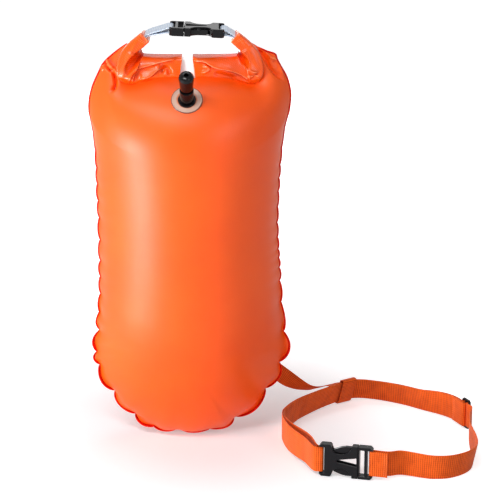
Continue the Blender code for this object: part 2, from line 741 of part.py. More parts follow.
def female_outline():
    """Upper half of the female outline, x from the webbing end, y from the middle line."""
    notch_start = FEMALE_BLOCK
    notch_end = FEMALE_LENGTH - FEMALE_SHOULDER
    notch = notch_end - notch_start
    rise = BUCKLE_HALF_WIDTH - FEMALE_WAIST
    points = [(0.0, 0.0), (0.0, BUCKLE_HALF_WIDTH * 0.86), (FEMALE_CORNER, BUCKLE_HALF_WIDTH * 0.95),
              (BAR_LENGTH, BUCKLE_HALF_WIDTH), (notch_start, BUCKLE_HALF_WIDTH)]
    for share, depth in ((0.06, 0.16), (0.10, 0.50), (0.17, 0.80), (0.30, 0.96), (0.45, 1.0),
                         (0.60, 0.97), (0.72, 0.90), (0.82, 0.76), (0.91, 0.54), (1.0, 0.30)):
        points.append((notch_start + notch * share, BUCKLE_HALF_WIDTH - rise * depth))
    points += [(notch_end, BUCKLE_HALF_WIDTH), (FEMALE_LENGTH, BUCKLE_HALF_WIDTH), (FEMALE_LENGTH, 0.0)]
    return mirrored(points)


def rectangle(x0, x1, half_width):
    return [(x0, -half_width), (x1, -half_width), (x1, half_width), (x0, half_width)]


def window_outline():
    end = FEMALE_LENGTH - WINDOW_RIM
    start = end - WINDOW_LENGTH
    return [(start, -WINDOW_TIP_HALF_WIDTH), (end, -WINDOW_HALF_WIDTH), (end, WINDOW_HALF_WIDTH),
            (start, WINDOW_TIP_HALF_WIDTH)]


def arm_outline():
    """Outline of the arm on the +y side, about its pivot, x towards the webbing end negative."""
    pivot_x = FEMALE_LENGTH - ARM_PIVOT_SETBACK
    hook_x = FEMALE_LENGTH - FEMALE_SHOULDER - CLEARANCE
    tip_x = FEMALE_BLOCK + ARM_TIP_MARGIN
    wall = BUCKLE_HALF_WIDTH - FEMALE_WALL
    neck = wall - 2 * CLEARANCE
    inner = ARM_PIVOT_OFFSET - ARM_ROOT_RADIUS
    run = hook_x - tip_x
    outer = [(hook_x, neck - FEMALE_WALL / 3), (hook_x, ARM_PAD_OFFSET), (hook_x - run * 0.30, ARM_PAD_OFFSET),
             (hook_x - run * 0.58, ARM_PAD_OFFSET * 0.93), (hook_x - run * 0.85, ARM_PAD_OFFSET * 0.80),
             (tip_x, ARM_PAD_OFFSET * 0.70)]
    inside = [(tip_x, inner + ARM_ROOT_RADIUS * 0.7), (hook_x - run * 0.80, inner),
              (hook_x - run * 0.35, inner - ARM_ROOT_RADIUS * 0.5), (hook_x, inner)]
    root = arc(np.array((pivot_x, ARM_PIVOT_OFFSET)), ARM_ROOT_RADIUS, -math.pi / 2, math.pi / 2, 9)
    points = [tuple(p) for p in root] + outer + inside
    return [(x - pivot_x, y - ARM_PIVOT_OFFSET) for x, y in points]


def bevel(item, width):
    modifier = item.modifiers.new("edges", "BEVEL")
    modifier.width = width
    modifier.segments = 1
    modifier.limit_method = "ANGLE"
    modifier.angle_limit = math.radians(50.0)


def add_buckle(prefix, arm_names, place, parts, cutters, black):
    """Side-release buckle on an empty: x along the webbing from the female end, z through it."""
    base = bpy.data.objects.new(prefix + "_buckle_place", None)
    parts.objects.link(base)
    base.matrix_world = place @ Matrix.Translation((-BUCKLE_LENGTH / 2, 0.0, 0.0))

    mesh = outline_mesh(prefix + "_buckle_female", female_outline(), BUCKLE_THICKNESS,
                        (window_outline(), rectangle(BAR_LENGTH, BAR_LENGTH + WEB_SLOT, SLOT_HALF_WIDTH)))
    female = add_object(prefix + "_buckle_female", mesh, parts, black, 0.38)
    female.parent = base
    bevel(female, BUCKLE_EDGE)
    inside = BUCKLE_THICKNESS / 2 - BUCKLE_PLATE
    wall = BUCKLE_HALF_WIDTH - FEMALE_WALL
    pocket = box_mesh(prefix + "_pocket", (FEMALE_BLOCK, -wall, -inside),
                      (FEMALE_LENGTH + CUT_OVERRUN, wall, inside))
    pocket_item = add_cutter(prefix + "_pocket", pocket, cutters)
    pocket_item.parent = base
    cut(female, pocket_item)
    trim = BUCKLE_THICKNESS / 2 - BAR_THICKNESS / 2
    for label, side in (("upper", 1), ("lower", -1)):
        low = side * BAR_THICKNESS / 2
        high = side * (BAR_THICKNESS / 2 + trim + CUT_OVERRUN)
        bar_trim = box_mesh(prefix + "_bar_trim_" + label,
                            (-CUT_OVERRUN, -SLOT_HALF_WIDTH, min(low, high)),
                            (BAR_LENGTH + WEB_SLOT / 2, SLOT_HALF_WIDTH, max(low, high)))
        trim_item = add_cutter(prefix + "_bar_trim_" + label, bar_trim, cutters)
        trim_item.parent = base
        cut(female, trim_item)

    start = FEMALE_LENGTH + CLEARANCE
    end = BUCKLE_LENGTH
    front_slot = start + MALE_FRONT_BAR
    back_slot = end - BAR_LENGTH - WEB_SLOT
    outline = [(start, -BUCKLE_HALF_WIDTH), (end - MALE_CORNER, -BUCKLE_HALF_WIDTH),
               (end, -BUCKLE_HALF_WIDTH + MALE_CORNER), (end, BUCKLE_HALF_WIDTH - MALE_CORNER),
               (end - MALE_CORNER, BUCKLE_HALF_WIDTH), (start, BUCKLE_HALF_WIDTH)]
    mesh = outline_mesh(prefix + "_buckle_male", outline, BUCKLE_THICKNESS,
                        (rectangle(front_slot, min(front_slot + MALE_SLOT_LENGTH, back_slot - WINDOW_RIM),
                                   SLOT_HALF_WIDTH),
                         rectangle(back_slot, back_slot + WEB_SLOT, SLOT_HALF_WIDTH)))
    male = add_object(prefix + "_buckle_male", mesh, parts, black, 0.38)
    male.parent = base
    bevel(male, BUCKLE_EDGE)
    for label, side in (("upper", 1), ("lower", -1)):
        low = side * BAR_THICKNESS / 2
        high = side * (BAR_THICKNESS / 2 + trim + CUT_OVERRUN)
        male_trim = box_mesh(prefix + "_male_trim_" + label,
                             (back_slot - CLEARANCE, -SLOT_HALF_WIDTH, min(low, high)),
                             (end + CUT_OVERRUN, SLOT_HALF_WIDTH, max(low, high)))
        trim_item = add_cutter(prefix + "_male_trim_" + label, male_trim, cutters)
        trim_item.parent = base
        cut(male, trim_item)

    for name, side in zip(arm_names, (1, -1)):
        points = [(x, side * y) for x, y in arm_outline()]
        if side < 0:
            points.reverse()
        arm = add_object(name, outline_mesh(name, points, ARM_THICKNESS), parts, black, 0.38)
        arm.parent = base
        arm.location = (FEMALE_LENGTH - ARM_PIVOT_SETBACK, side * ARM_PIVOT_OFFSET, 0.0)
        bevel(arm, BUCKLE_EDGE / 2)
    return base


def top_buckle_place():
    """The top buckle's x points to its male half, on the left, and its z points up."""
    turn = Matrix.Rotation(math.pi, 4, "Z")
    slope = Matrix.Rotation(TOP_BUCKLE_SLOPE, 4, "Y")
    return Matrix.Translation((TOP_BUCKLE_X, 0.0, TOP_BUCKLE_Z)) @ slope @ turn


def belt_buckle_place():
    """The belt buckle stands on its edge: its width is upright and its face looks out of the belt."""
    stand = Matrix.Rotation(math.pi / 2, 4, "X")
    turn = Matrix.Rotation(BELT_BUCKLE_TURN, 4, "Z")
    return Matrix.Translation((BELT_BUCKLE_X, BELT_BUCKLE_Y, BUCKLE_HALF_WIDTH)) @ turn @ stand


# Belt


def belt_share(place):
    return np.array((BELT_MIDDLE_X + place[0] * BELT_SPAN_X, BELT_MIDDLE_Y + place[1] * BELT_SPAN_Y))


def slider_axes():
    """Middle of the slider, direction along the strap towards the far side, and outward direction."""
    along = np.array((math.cos(SLIDER_TURN), math.sin(SLIDER_TURN)))
    outward = np.array((along[1], -along[0]))
    return belt_share(SLIDER_PLACE_SHARES), along, outward


def buckle_axes():
    """Middle of the belt buckle, direction towards its male half, and outward direction."""
    along = np.array((math.cos(BELT_BUCKLE_TURN), math.sin(BELT_BUCKLE_TURN)))
    return np.array((BELT_BUCKLE_X, BELT_BUCKLE_Y)), along, np.array((along[1], -along[0]))


def slider_weave():
    """The strap's way through the slider, as lengths along and out from the strap's line."""
    half = WEB_THICKNESS / 2
    over = half + MESH_GAP + SLIDER_THICKNESS + MESH_GAP + WEB_THICKNESS + MESH_GAP + half
    column = SLIDER_BAR / 2 + 2 * MESH_GAP + WEB_THICKNESS + half
    corner = WEB_THICKNESS * 0.6
    rise = [(-column - corner, 0.0), (-column, corner), (-column, over - corner), (-column + corner, over)]
    return rise, [(-x, y) for x, y in reversed(rise)]


def belt_route():
    """Main run of the strap from the male buckle to the female one, seen from above."""
    middle, along, outward = buckle_axes()
    radius = fold_radius(WEB_THICKNESS)
    reach = BUCKLE_LENGTH / 2 - BAR_LENGTH / 2
    male_bar = middle + along * reach
    female_bar = middle - along * reach
    slider, slide_along, slide_out = slider_axes()

    lead = male_bar - outward * radius
    first = [lead, lead + along * BELT_TAB_LENGTH] + [belt_share(p) for p in BELT_BEFORE_SLIDER_SHARES]
    straight = SLIDER_LENGTH / 2 + WEB_THICKNESS
    first += [slider - slide_along * straight * 1.6, slider - slide_along * straight]
    first = list(smooth_through(first, BELT_STEP))

    rise, fall = slider_weave()
    weave = [slider + slide_along * x + slide_out * y for x, y in (*rise, *fall)]

    second = [slider + slide_along * straight, slider + slide_along * straight * 1.6]
    second += [belt_share(p) for p in BELT_AFTER_SLIDER_SHARES]
    second += [belt_share(BELT_LOOP_SHARES)]
    second += [belt_share(p) for p in BELT_AFTER_LOOP_SHARES]
    entry = female_bar + outward * radius
    second += [entry - along * BELT_TAB_LENGTH / 3, entry]
    second = list(smooth_through(second, BELT_STEP))
    return first, weave, second


def strap_normals(line):
    """Unit vectors to the right of the way at each point, seen from above."""
    line = np.array(line)
    way = np.gradient(line, axis=0)
    way /= np.linalg.norm(way, axis=1)[:, None]
    return np.column_stack([way[:, 1], -way[:, 0]])


def return_layer(second):
    """Inner layer, from the female bar back to the slider, beside the outer one."""
    second = np.array(second)
    along = lengths_along(second)
    from_bar = along[-1] - along
    near = WEB_THICKNESS + BELT_LAYER_GAP
    wide = 2 * fold_radius(WEB_THICKNESS)
    share = np.clip(from_bar / (2 * BUCKLE_LENGTH), 0.0, 1.0)
    spread = near + (wide - near) * (1.0 - ease(share)) + BELT_SLACK * np.sin(math.pi * share) ** 2
    return (second - strap_normals(second) * spread[:, None])[::-1]


def slider_fold():
    """The inner layer's way round the slider's middle bar, along and out from the strap's line."""
    near = -(WEB_THICKNESS + BELT_LAYER_GAP)
    half = WEB_THICKNESS / 2
    top = half + MESH_GAP + SLIDER_THICKNESS + MESH_GAP + half
    column = SLIDER_BAR / 2 + MESH_GAP + half
    corner = WEB_THICKNESS * 0.6
    low = near * 2
    tab = SLIDER_LENGTH * 1.3
    points = [(column + corner, near), (column, near + corner), (column, top - corner), (column - corner, top),
              (corner - column, top), (-column, top - corner), (-column, low + corner), (corner - column, low),
              (tab / 2, low), (tab, low)]
    return points


def belt_height(points):
    """Height of the strap's lower edge: up in the buckle, the slider and the leash's loop."""
    middle, _, _ = buckle_axes()
    slider, _, _ = slider_axes()
    loop = belt_share(BELT_LOOP_SHARES)
    raised = BUCKLE_HALF_WIDTH - WEB_WIDTH / 2
    raised_slider = SLIDER_WIDTH / 2 - WEB_WIDTH / 2
    lift = LEASH_THICKNESS + 4 * MESH_GAP
    heights = []
    for point in points:
        near_buckle = np.linalg.norm(point - middle) - BUCKLE_LENGTH / 2
        near_loop = np.linalg.norm(point - loop) - LEASH_WIDTH / 2
        near_slider = np.linalg.norm(point - slider) - SLIDER_LENGTH
        height = raised * (1.0 - ease((near_buckle - LEASH_TAB / 2) / BUCKLE_LENGTH))
        height = max(height, lift * (1.0 - ease(near_loop / BUCKLE_LENGTH)))
        height = max(height, raised_slider * (1.0 - ease(near_slider / BUCKLE_LENGTH)))
        heights.append(height)
    return np.array(heights)


def lean_at(points, route):
    """Inward lean of the strap at points, read from the nearest place on its main route.

    The strap stands upright where the slider or the buckle holds it.
    """
    route = np.array(route)
    along = lengths_along(route)
    shares = along / along[-1]
    slider, _, _ = slider_axes()
    middle, _, _ = buckle_axes()
    result = []
    for point in points:
        nearest = int(np.argmin(np.linalg.norm(route - point, axis=1)))
        lean = math.radians(float(np.interp(shares[nearest], LEAN_ROUTE_SHARES, LEAN_DEGREES)))
        from_slider = np.linalg.norm(point - slider) - SLIDER_LENGTH
        from_buckle = np.linalg.norm(point - middle) - BUCKLE_LENGTH / 2
        free = ease(from_slider / BUCKLE_LENGTH) * ease((from_buckle - LEASH_TAB / 2) / BUCKLE_LENGTH)
        result.append(lean * free)
    return np.array(result)


def belt_inward(points):
    """Unit vectors from points of the belt to the middle of its loop, across the strap."""
    middle = np.array((BELT_MIDDLE_X, BELT_MIDDLE_Y))
    way = middle - np.array(points)
    return way / np.linalg.norm(way, axis=1)[:, None]


def belt_edges(line, route):
    """Lower and upper edge of the standing strap, leaning inwards about its lower edge."""
    line = np.array(line)
    lean = lean_at(line, route)
    height = belt_height(line) + WEB_THICKNESS / 2 * np.abs(np.sin(lean))
    inward = belt_inward(line)
    low = np.column_stack([line, height])
    shift = inward * (WEB_WIDTH * np.sin(lean))[:, None]
    high = np.column_stack([line + shift, height + WEB_WIDTH * np.cos(lean)])
    return low, high


def add_waist_strap(parts, colour):
    """One length of webbing: sewn at the male bar, woven through the slider, round the female bar,
    and back inside itself to the slider's middle bar, where its end is sewn."""
    middle, along, outward = buckle_axes()
    radius = fold_radius(WEB_THICKNESS)
    reach = BUCKLE_LENGTH / 2 - BAR_LENGTH / 2
    male_bar = middle + along * reach
    female_bar = middle - along * reach
    first, weave, second = belt_route()
    route = [*first, *second]

    out_angle = math.atan2(outward[1], outward[0])
    tab = [male_bar + outward * radius + along * share * BELT_TAB_LENGTH for share in (1.0, 0.6, 0.25)]
    male_fold = arc(male_bar, radius, out_angle, out_angle - math.pi, 9)
    female_fold = arc(female_bar, radius, out_angle, out_angle + math.pi, 9)
    slider, slide_along, slide_out = slider_axes()
    inner = list(return_layer(second))
    keep = [p for p in inner if np.dot(p - slider, slide_along) > SLIDER_LENGTH / 2
            or np.linalg.norm(p - slider) > 2 * SLIDER_LENGTH]
    wrap = [slider + slide_along * x + slide_out * y for x, y in slider_fold()]
    line = tab + male_fold + first[1:] + weave + second[:-1] + female_fold + keep[1:] + wrap
    low, high = belt_edges(line, route)
    ribbon("waist_strap", low, high, WEB_THICKNESS, parts, colour)


def add_slider(parts, black):
    """Three-bar slider standing on its edge outside the strap."""
    slider, along, outward = slider_axes()
    half_x, half_y = SLIDER_LENGTH / 2, SLIDER_WIDTH / 2
    c = SLIDER_CORNER
    outline = [(-half_x + c, -half_y), (half_x - c, -half_y), (half_x, -half_y + c), (half_x, half_y - c),
               (half_x - c, half_y), (-half_x + c, half_y), (-half_x, half_y - c), (-half_x, -half_y + c)]
    slot = [rectangle(SLIDER_BAR / 2, SLIDER_BAR / 2 + SLIDER_SLOT, SLOT_HALF_WIDTH),
            rectangle(-SLIDER_BAR / 2 - SLIDER_SLOT, -SLIDER_BAR / 2, SLOT_HALF_WIDTH)]
    item = add_object("strap_slider", outline_mesh("strap_slider", outline, SLIDER_THICKNESS, slot),
                      parts, black, 0.38)
    bevel(item, BUCKLE_EDGE)
    off = WEB_THICKNESS / 2 + MESH_GAP + SLIDER_THICKNESS / 2
    x_axis = Vector((along[0], along[1], 0.0))
    z_axis = Vector((outward[0], outward[1], 0.0))
    place = Matrix((x_axis, z_axis.cross(x_axis), z_axis)).transposed().to_4x4()
    height = max(WEB_WIDTH / 2, SLIDER_WIDTH / 2)
    place.translation = (slider[0] + outward[0] * off, slider[1] + outward[1] * off, height)
    item.matrix_world = place


# Leash and its anchor


def anchor_axes():
    """Anchor place on the back panel, outward level direction and level direction across."""
    place, across, upward, normal = bag_frame(ANCHOR_WIDTH_SHARE, ANCHOR_HEIGHT_SHARE)
    flip = np.array((1.0, -1.0, 1.0))
    place, across, upward, normal = place * flip, across * flip, upward * flip, normal * flip
    out = np.array((normal[0], normal[1], 0.0))
    out /= np.linalg.norm(out)
    level = np.array((out[1], -out[0], 0.0))
    return place, out, level, np.linalg.norm(across), np.linalg.norm(upward), normal


def patch_solid(name, point_of, u0, v0, half_u, half_v, hole, lift, thickness, parts, colour,
                roughness, transmission=0.0):
    """Round patch that follows the panel: rings of points about (u0, v0), raised by its lift."""
    start = hole if hole > 0.0 else 0.25
    rings = [start + (1.0 - start) * share for share in (0.0, 0.35, 0.7, 1.0)]
    steps = ROUND_STEPS
    rows = []
    for ring in rings:
        row = []
        for k in range(steps):
            angle = 2 * math.pi * k / steps
            row.append(point_of(u0 + half_u * ring * math.cos(angle), v0 + half_v * ring * math.sin(angle), lift))
        rows.append(row)
    mesh = sheet_mesh(name, rows, closed=True)
    if hole <= 0.0:
        work = bmesh.new()
        work.from_mesh(mesh)
        work.verts.ensure_lookup_table()
        bmesh.ops.contextual_create(work, geom=[work.verts[k] for k in range(steps)])
        work.to_mesh(mesh)
        work.free()
    work = bmesh.new()
    work.from_mesh(mesh)
    bmesh.ops.recalc_face_normals(work, faces=work.faces)
    work.to_mesh(mesh)
    work.free()
    mesh.shade_smooth()
    item = add_object(name, mesh, parts, colour, roughness, transmission=transmission)
    thicken(item, thickness, 0.0)
    return item


def raised_front(u, v, lift):
    place, _, _, normal = bag_frame(u, v)
    return place + normal * lift


def raised_back(u, v, lift):
    return raised_front(u, v, lift) * (1.0, -1.0, 1.0)


def ring_bars():
    """Middles of the ring's inner and outer upright sides, seen from above, and the anchor height."""
    place, out, level, _, _, _ = anchor_axes()
    inner = place + out * RING_STANDOFF
    way = level * math.cos(RING_TURN) + out * math.sin(RING_TURN)
    outer = inner + way * RING_SPACING
    return inner, outer, way


def add_anchor(parts, orange, steel):
    place, out, level, across, upward, _ = anchor_axes()
    half_u, half_v = PATCH_HALF_WIDTH / across, PATCH_HALF_HEIGHT / upward
    lift = MESH_GAP + PATCH_THICKNESS / 2
    patch_solid("anchor_patch", raised_back, ANCHOR_WIDTH_SHARE, ANCHOR_HEIGHT_SHARE, half_u, half_v,
                0.0, lift, PATCH_THICKNESS, parts, orange, 0.45)

    inner, outer, way = ring_bars()
    radius = RING_WIRE / 2 + 2 * MESH_GAP + KEEPER_THICKNESS / 2
    foot_lift = 2 * MESH_GAP + PATCH_THICKNESS + KEEPER_THICKNESS / 2 + MESH_GAP
    edges = []
    for side in (-1, 1):
        height = side * KEEPER_HEIGHT / 2
        v = ANCHOR_HEIGHT_SHARE + height / upward
        feet = {}
        for share in (-KEEPER_FOOT, -KEEPER_NECK, KEEPER_NECK, KEEPER_FOOT):
            feet[share] = raised_back(ANCHOR_WIDTH_SHARE + share / across, v, foot_lift)
        middle = np.array((inner[0], inner[1], place[2] + height))
        bow = []
        for angle in np.linspace(-math.radians(150), math.radians(150), 11)[::-1]:
            bow.append(middle + radius * (out * math.cos(angle) - level * math.sin(angle)))
        edges.append([feet[-KEEPER_FOOT], feet[-KEEPER_NECK], *bow, feet[KEEPER_NECK], feet[KEEPER_FOOT]])
    ribbon("ring_keeper", edges[0], edges[1], KEEPER_THICKNESS, parts, orange, 0.7)

    half = RING_INNER_HEIGHT / 2 + RING_WIRE / 2
    points = []
    for start, corner in ((inner, (0, 1)), (outer, (1, 1)), (outer, (1, -1)), (inner, (0, -1))):
        for share in (0.0, 0.5, 1.0):
            angle = share * math.pi / 2
            toward = way if corner[0] == 0 else -way
            turn_in = 1.0 - math.cos(angle) if corner in ((0, 1), (1, -1)) else 1.0 - math.sin(angle)
            turn_up = 1.0 - math.sin(angle) if corner in ((0, 1), (1, -1)) else 1.0 - math.cos(angle)
            spot = start + toward * RING_CORNER * turn_in
            height = place[2] + corner[1] * (half - RING_CORNER * turn_up)
            points.append((spot[0], spot[1], height))
    mesh = tube_mesh("leash_ring", points, RING_WIRE / 2, closed=True)
    smooth(mesh)
    pivot = Vector((inner[0], inner[1], place[2]))
    mesh.transform(Matrix.Translation(-pivot))
    ring = add_object("leash_ring", mesh, parts, steel, 0.3, metallic=1.0)
    ring.location = pivot


def loop_axes():
    """Place of the leash's loop on the belt, the belt's way there and its outward direction."""
    _, _, second = belt_route()
    second = np.array(second)
    spot = belt_share(BELT_LOOP_SHARES)
    nearest = int(np.argmin(np.linalg.norm(second - spot, axis=1)))
    outward = strap_normals(second)[nearest]
    along = np.array((-outward[1], outward[0]))
    return spot, along, outward


def add_leash(parts, colour):
    """Leash webbing: an eye on the ring, a twisting run down to the ground, and a loop round the belt."""
    place, _, _, _, _, _ = anchor_axes()
    inner, outer, way = ring_bars()
    radius = RING_WIRE / 2 + 2 * MESH_GAP + LEASH_THICKNESS / 2
    side = np.array((way[1], -way[0], 0.0))
    bar = np.array((outer[0], outer[1], place[2]))
    layer = LEASH_THICKNESS + BELT_LAYER_GAP
    points, widths = [], []
    up = np.array((0.0, 0.0, 1.0))

    def put(point, width):
        points.append(np.array(point, float))
        widths.append(np.array(width, float) / np.linalg.norm(width))

    for share in (1.0, 0.7, 0.45):
        put(bar + way * LEASH_TAB * share + side * layer, up)
    put(bar + way * radius * 1.4 + side * (radius + layer) / 2, up)
    for angle in np.linspace(math.radians(60), math.radians(300), 9):
        put(bar + radius * (way * math.cos(angle) + side * math.sin(angle)), up)
    put(bar + way * radius * 1.5 - side * radius / 3, up)
    put(bar + way * LEASH_TAB * 0.45, up)
    put(bar + way * LEASH_TAB * 0.7, up)

    spot, along, outward = loop_axes()
    shape = loop_shape()
    lean = loop_lean()
    belt_way = np.array((along[0], along[1], 0.0))
    out3 = np.array((outward[0], outward[1], 0.0))

    def from_belt(n, z):
        return (np.array((spot[0], spot[1], 0.0)) + out3 * (n - z * math.tan(lean)) + up * z)

    lead = from_belt(LEASH_LOOP_LEAD, shape[0][1])
    run = [bar + way * LEASH_TAB * 0.7, bar + way * LEASH_TAB, *[np.array(p) for p in LEASH_ROUTE], lead,
           from_belt(LEASH_LOOP_LEAD / 2, shape[0][1])]
    line = smooth_through(run, BELT_STEP)
    total = lengths_along(line)
    shares = total / total[-1]
    final = -belt_way
    for point, share in list(zip(line, shares))[1:]:
        blend = ease((share - LEASH_TWIST_START) / LEASH_TWIST_LENGTH)
        way_here = up * math.cos(blend * math.pi / 2) + final * math.sin(blend * math.pi / 2)
        put(point, way_here)
    for n, z in shape:
        put(from_belt(n, z), final)
    half = LEASH_WIDTH / 2
    low = [p - w * half for p, w in zip(points, widths)]
    high = [p + w * half for p, w in zip(points, widths)]
    ribbon("tow_leash", low, high, LEASH_THICKNESS, parts, colour)


def loop_lean():
    first, _, second = belt_route()
    return float(lean_at([belt_share(BELT_LOOP_SHARES)], [*first, *second])[0])


def loop_shape():
    """The leash's way round both belt layers, as lengths out from the belt and up."""
    half = LEASH_THICKNESS / 2
    clear = MESH_GAP + LEASH_LOOP_SLACK + half
    outer = WEB_THICKNESS / 2 + clear
    inner = -(WEB_THICKNESS * 1.5 + BELT_LAYER_GAP + clear)
    low = half + MESH_GAP / 3
    top = LEASH_THICKNESS + 4 * MESH_GAP + WEB_WIDTH + MESH_GAP * 3 + half
    middle = (outer + inner) / 2
    tab = LEASH_LOOP_LEAD * 0.8
    start_z = WEB_WIDTH / 2
    layer = LEASH_THICKNESS + BELT_LAYER_GAP
    return [(outer + 4 * half, start_z + half * 3), (outer, start_z + half * 10), (outer, top - half * 4),
            (outer - half, top - half), (middle, top), (inner + half, top - half), (inner, top - half * 4),
            (inner, WEB_WIDTH / 2), (inner, low + half * 4), (inner + half, low + half), (middle, low),
            (outer - half, low + half), (outer, low + half * 3),
            (outer + half, start_z - layer * 2.4), (outer + 5 * half, start_z - layer * 1.15), (tab, start_z - layer)]


# Valve


def valve_u():
    """Place across the panel of its point on x = 0, at the valve's height."""
    low, high = -0.3, 0.3
    for _ in range(40):
        middle = (low + high) / 2
        if bag_point(middle, 2.0 + VALVE_HEIGHT_SHARE)[0] > 0.0:
            high = middle
        else:
            low = middle
    return middle


def valve_place():
    """Matrix of the valve's axis: origin on the panel's outer face, z outwards."""
    place, _, _, normal = bag_frame(valve_u(), 2.0 + VALVE_HEIGHT_SHARE)
    z_axis = Vector((0.0, normal[1], normal[2])).normalized()
    x_axis = Vector((1.0, 0.0, 0.0))
    matrix = Matrix((x_axis, z_axis.cross(x_axis), z_axis)).transposed().to_4x4()
    matrix.translation = place
    return matrix


def add_valve(parts, cutters, black, clear, steel):
    base = bpy.data.objects.new("valve_place", None)
    parts.objects.link(base)
    base.matrix_world = valve_place()

    height = 2.0 + VALVE_HEIGHT_SHARE
    _, across, upward, _ = bag_frame(valve_u(), height)
    half_u = FLANGE_RADIUS / np.linalg.norm(across)
    half_v = FLANGE_RADIUS / np.linalg.norm(upward)
    hole = (VALVE_TUBE_RADIUS + MESH_GAP) / FLANGE_RADIUS
    patch_solid("valve_flange", raised_front, valve_u(), height, half_u, half_v, hole * 1.08,
                MESH_GAP + FLANGE_THICKNESS / 2, FLANGE_THICKNESS, parts, clear, 0.35, 0.4)

    collar_low = FLANGE_THICKNESS + 4 * MESH_GAP
    foot = -VALVE_TUBE_FOOT
    seat_top = foot + VALVE_SEAT_THICKNESS
    tube = add_turned("valve_tube", [
        (VALVE_TUBE_BORE, VALVE_TUBE_TOP), (VALVE_TUBE_RADIUS - BUCKLE_EDGE, VALVE_TUBE_TOP),
        (VALVE_TUBE_RADIUS, VALVE_TUBE_TOP - BUCKLE_EDGE),
        (VALVE_TUBE_RADIUS, collar_low + FLANGE_COLLAR_HEIGHT),
        (FLANGE_COLLAR_RADIUS - BUCKLE_EDGE, collar_low + FLANGE_COLLAR_HEIGHT),
        (FLANGE_COLLAR_RADIUS, collar_low + FLANGE_COLLAR_HEIGHT - BUCKLE_EDGE),
        (FLANGE_COLLAR_RADIUS, collar_low), (VALVE_TUBE_RADIUS, collar_low), (VALVE_TUBE_RADIUS, foot),
        (VALVE_SEAT_RADIUS, foot), (VALVE_SEAT_RADIUS, seat_top), (VALVE_TUBE_BORE, seat_top)],
        parts, black, 0.2)
    tube.parent = base

    low = VALVE_TUBE_TOP + VALVE_STOP_GAP
    top = low + MOUTHPIECE_LENGTH
    bridge_top = top - BRIDGE_SETBACK
    sleeve_low = low - MOUTHPIECE_SLEEVE - VALVE_STOP_GAP
    sleeve_radius = VALVE_TUBE_BORE - MESH_GAP
    profile = [(MOUTHPIECE_HOLE, top - MOUTHPIECE_CROWN / 12)]
    for k in range(1, 7):
        angle = k / 6 * math.pi / 2
        radius = MOUTHPIECE_HOLE + (MOUTHPIECE_TOP_RADIUS - MOUTHPIECE_HOLE) * math.sin(angle)
        profile.append((radius, top - MOUTHPIECE_CROWN / 12 - MOUTHPIECE_CROWN * (1 - math.cos(angle))))
    profile += [(MOUTHPIECE_BASE_RADIUS, low + BUCKLE_EDGE), (MOUTHPIECE_BASE_RADIUS - BUCKLE_EDGE, low),
                (sleeve_radius, low), (sleeve_radius, sleeve_low), (MOUTHPIECE_BORE, sleeve_low),
                (MOUTHPIECE_BORE, bridge_top - BRIDGE_THICKNESS),
                (STEM_RADIUS + CLEARANCE, bridge_top - BRIDGE_THICKNESS), (STEM_RADIUS + CLEARANCE, bridge_top),
                (MOUTHPIECE_HOLE, bridge_top)]
    mouthpiece = add_turned("valve_mouthpiece", profile, parts, black, 0.15)
    mouthpiece.parent = base
    for k in range(3):
        angle = 2 * math.pi * k / 3
        offset = (STEM_RADIUS + MOUTHPIECE_BORE) / 2
        vent = drum_mesh("bridge_vent", MOUTHPIECE_HOLE / 4, bridge_top - 2 * BRIDGE_THICKNESS,
                         bridge_top + BRIDGE_THICKNESS / 2, 8)
        vent_item = add_cutter(f"bridge_vent_{k + 1}", vent, cutters)
        vent_item.parent = base
        spread = min(offset, MOUTHPIECE_HOLE - MOUTHPIECE_HOLE / 4)
        vent_item.location = (spread * math.cos(angle), spread * math.sin(angle), 0.0)
        cut(mouthpiece, vent_item)

    seal_top = foot - MESH_GAP
    seal_low = seal_top - SEAL_THICKNESS
    seal = add_turned("valve_seal", [
        (STEM_RADIUS + CLEARANCE, seal_top), (POPPET_RADIUS, seal_top), (POPPET_RADIUS, seal_low),
        (STEM_RADIUS + CLEARANCE, seal_low)], parts, (0.75, 0.73, 0.70), 0.6)
    seal.parent = base
    disc_top = seal_low - MESH_GAP
    disc_low = disc_top - POPPET_THICKNESS
    head_low = bridge_top + MESH_GAP
    head_radius = STEM_RADIUS + 3 * CLEARANCE
    stem = add_turned("valve_stem", [
        (0.0, head_low + 2 * STEM_RADIUS), (STEM_RADIUS, head_low + 2 * STEM_RADIUS - CLEARANCE),
        (head_radius, head_low + STEM_RADIUS), (head_radius, head_low), (STEM_RADIUS, head_low),
        (STEM_RADIUS, disc_top), (POPPET_RADIUS, disc_top), (POPPET_RADIUS, disc_low), (0.0, disc_low)],
        parts, black, 0.25)
    stem.parent = base

    spring_low = seat_top + MESH_GAP + SPRING_WIRE / 2
    spring_top = sleeve_low - MESH_GAP - SPRING_WIRE / 2
    coil = (MOUTHPIECE_BORE + sleeve_radius) / 2
    count = SPRING_TURNS * SPRING_POINTS_PER_TURN
    points = []
    for k in range(count + 1):
        angle = 2 * math.pi * k / SPRING_POINTS_PER_TURN
        points.append((coil * math.cos(angle), coil * math.sin(angle),
                       spring_low + (spring_top - spring_low) * k / count))
    spring = add_object("valve_spring", tube_mesh("valve_spring", points, SPRING_WIRE / 2), parts,
                        steel, 0.3, metallic=1.0)
    spring.parent = base


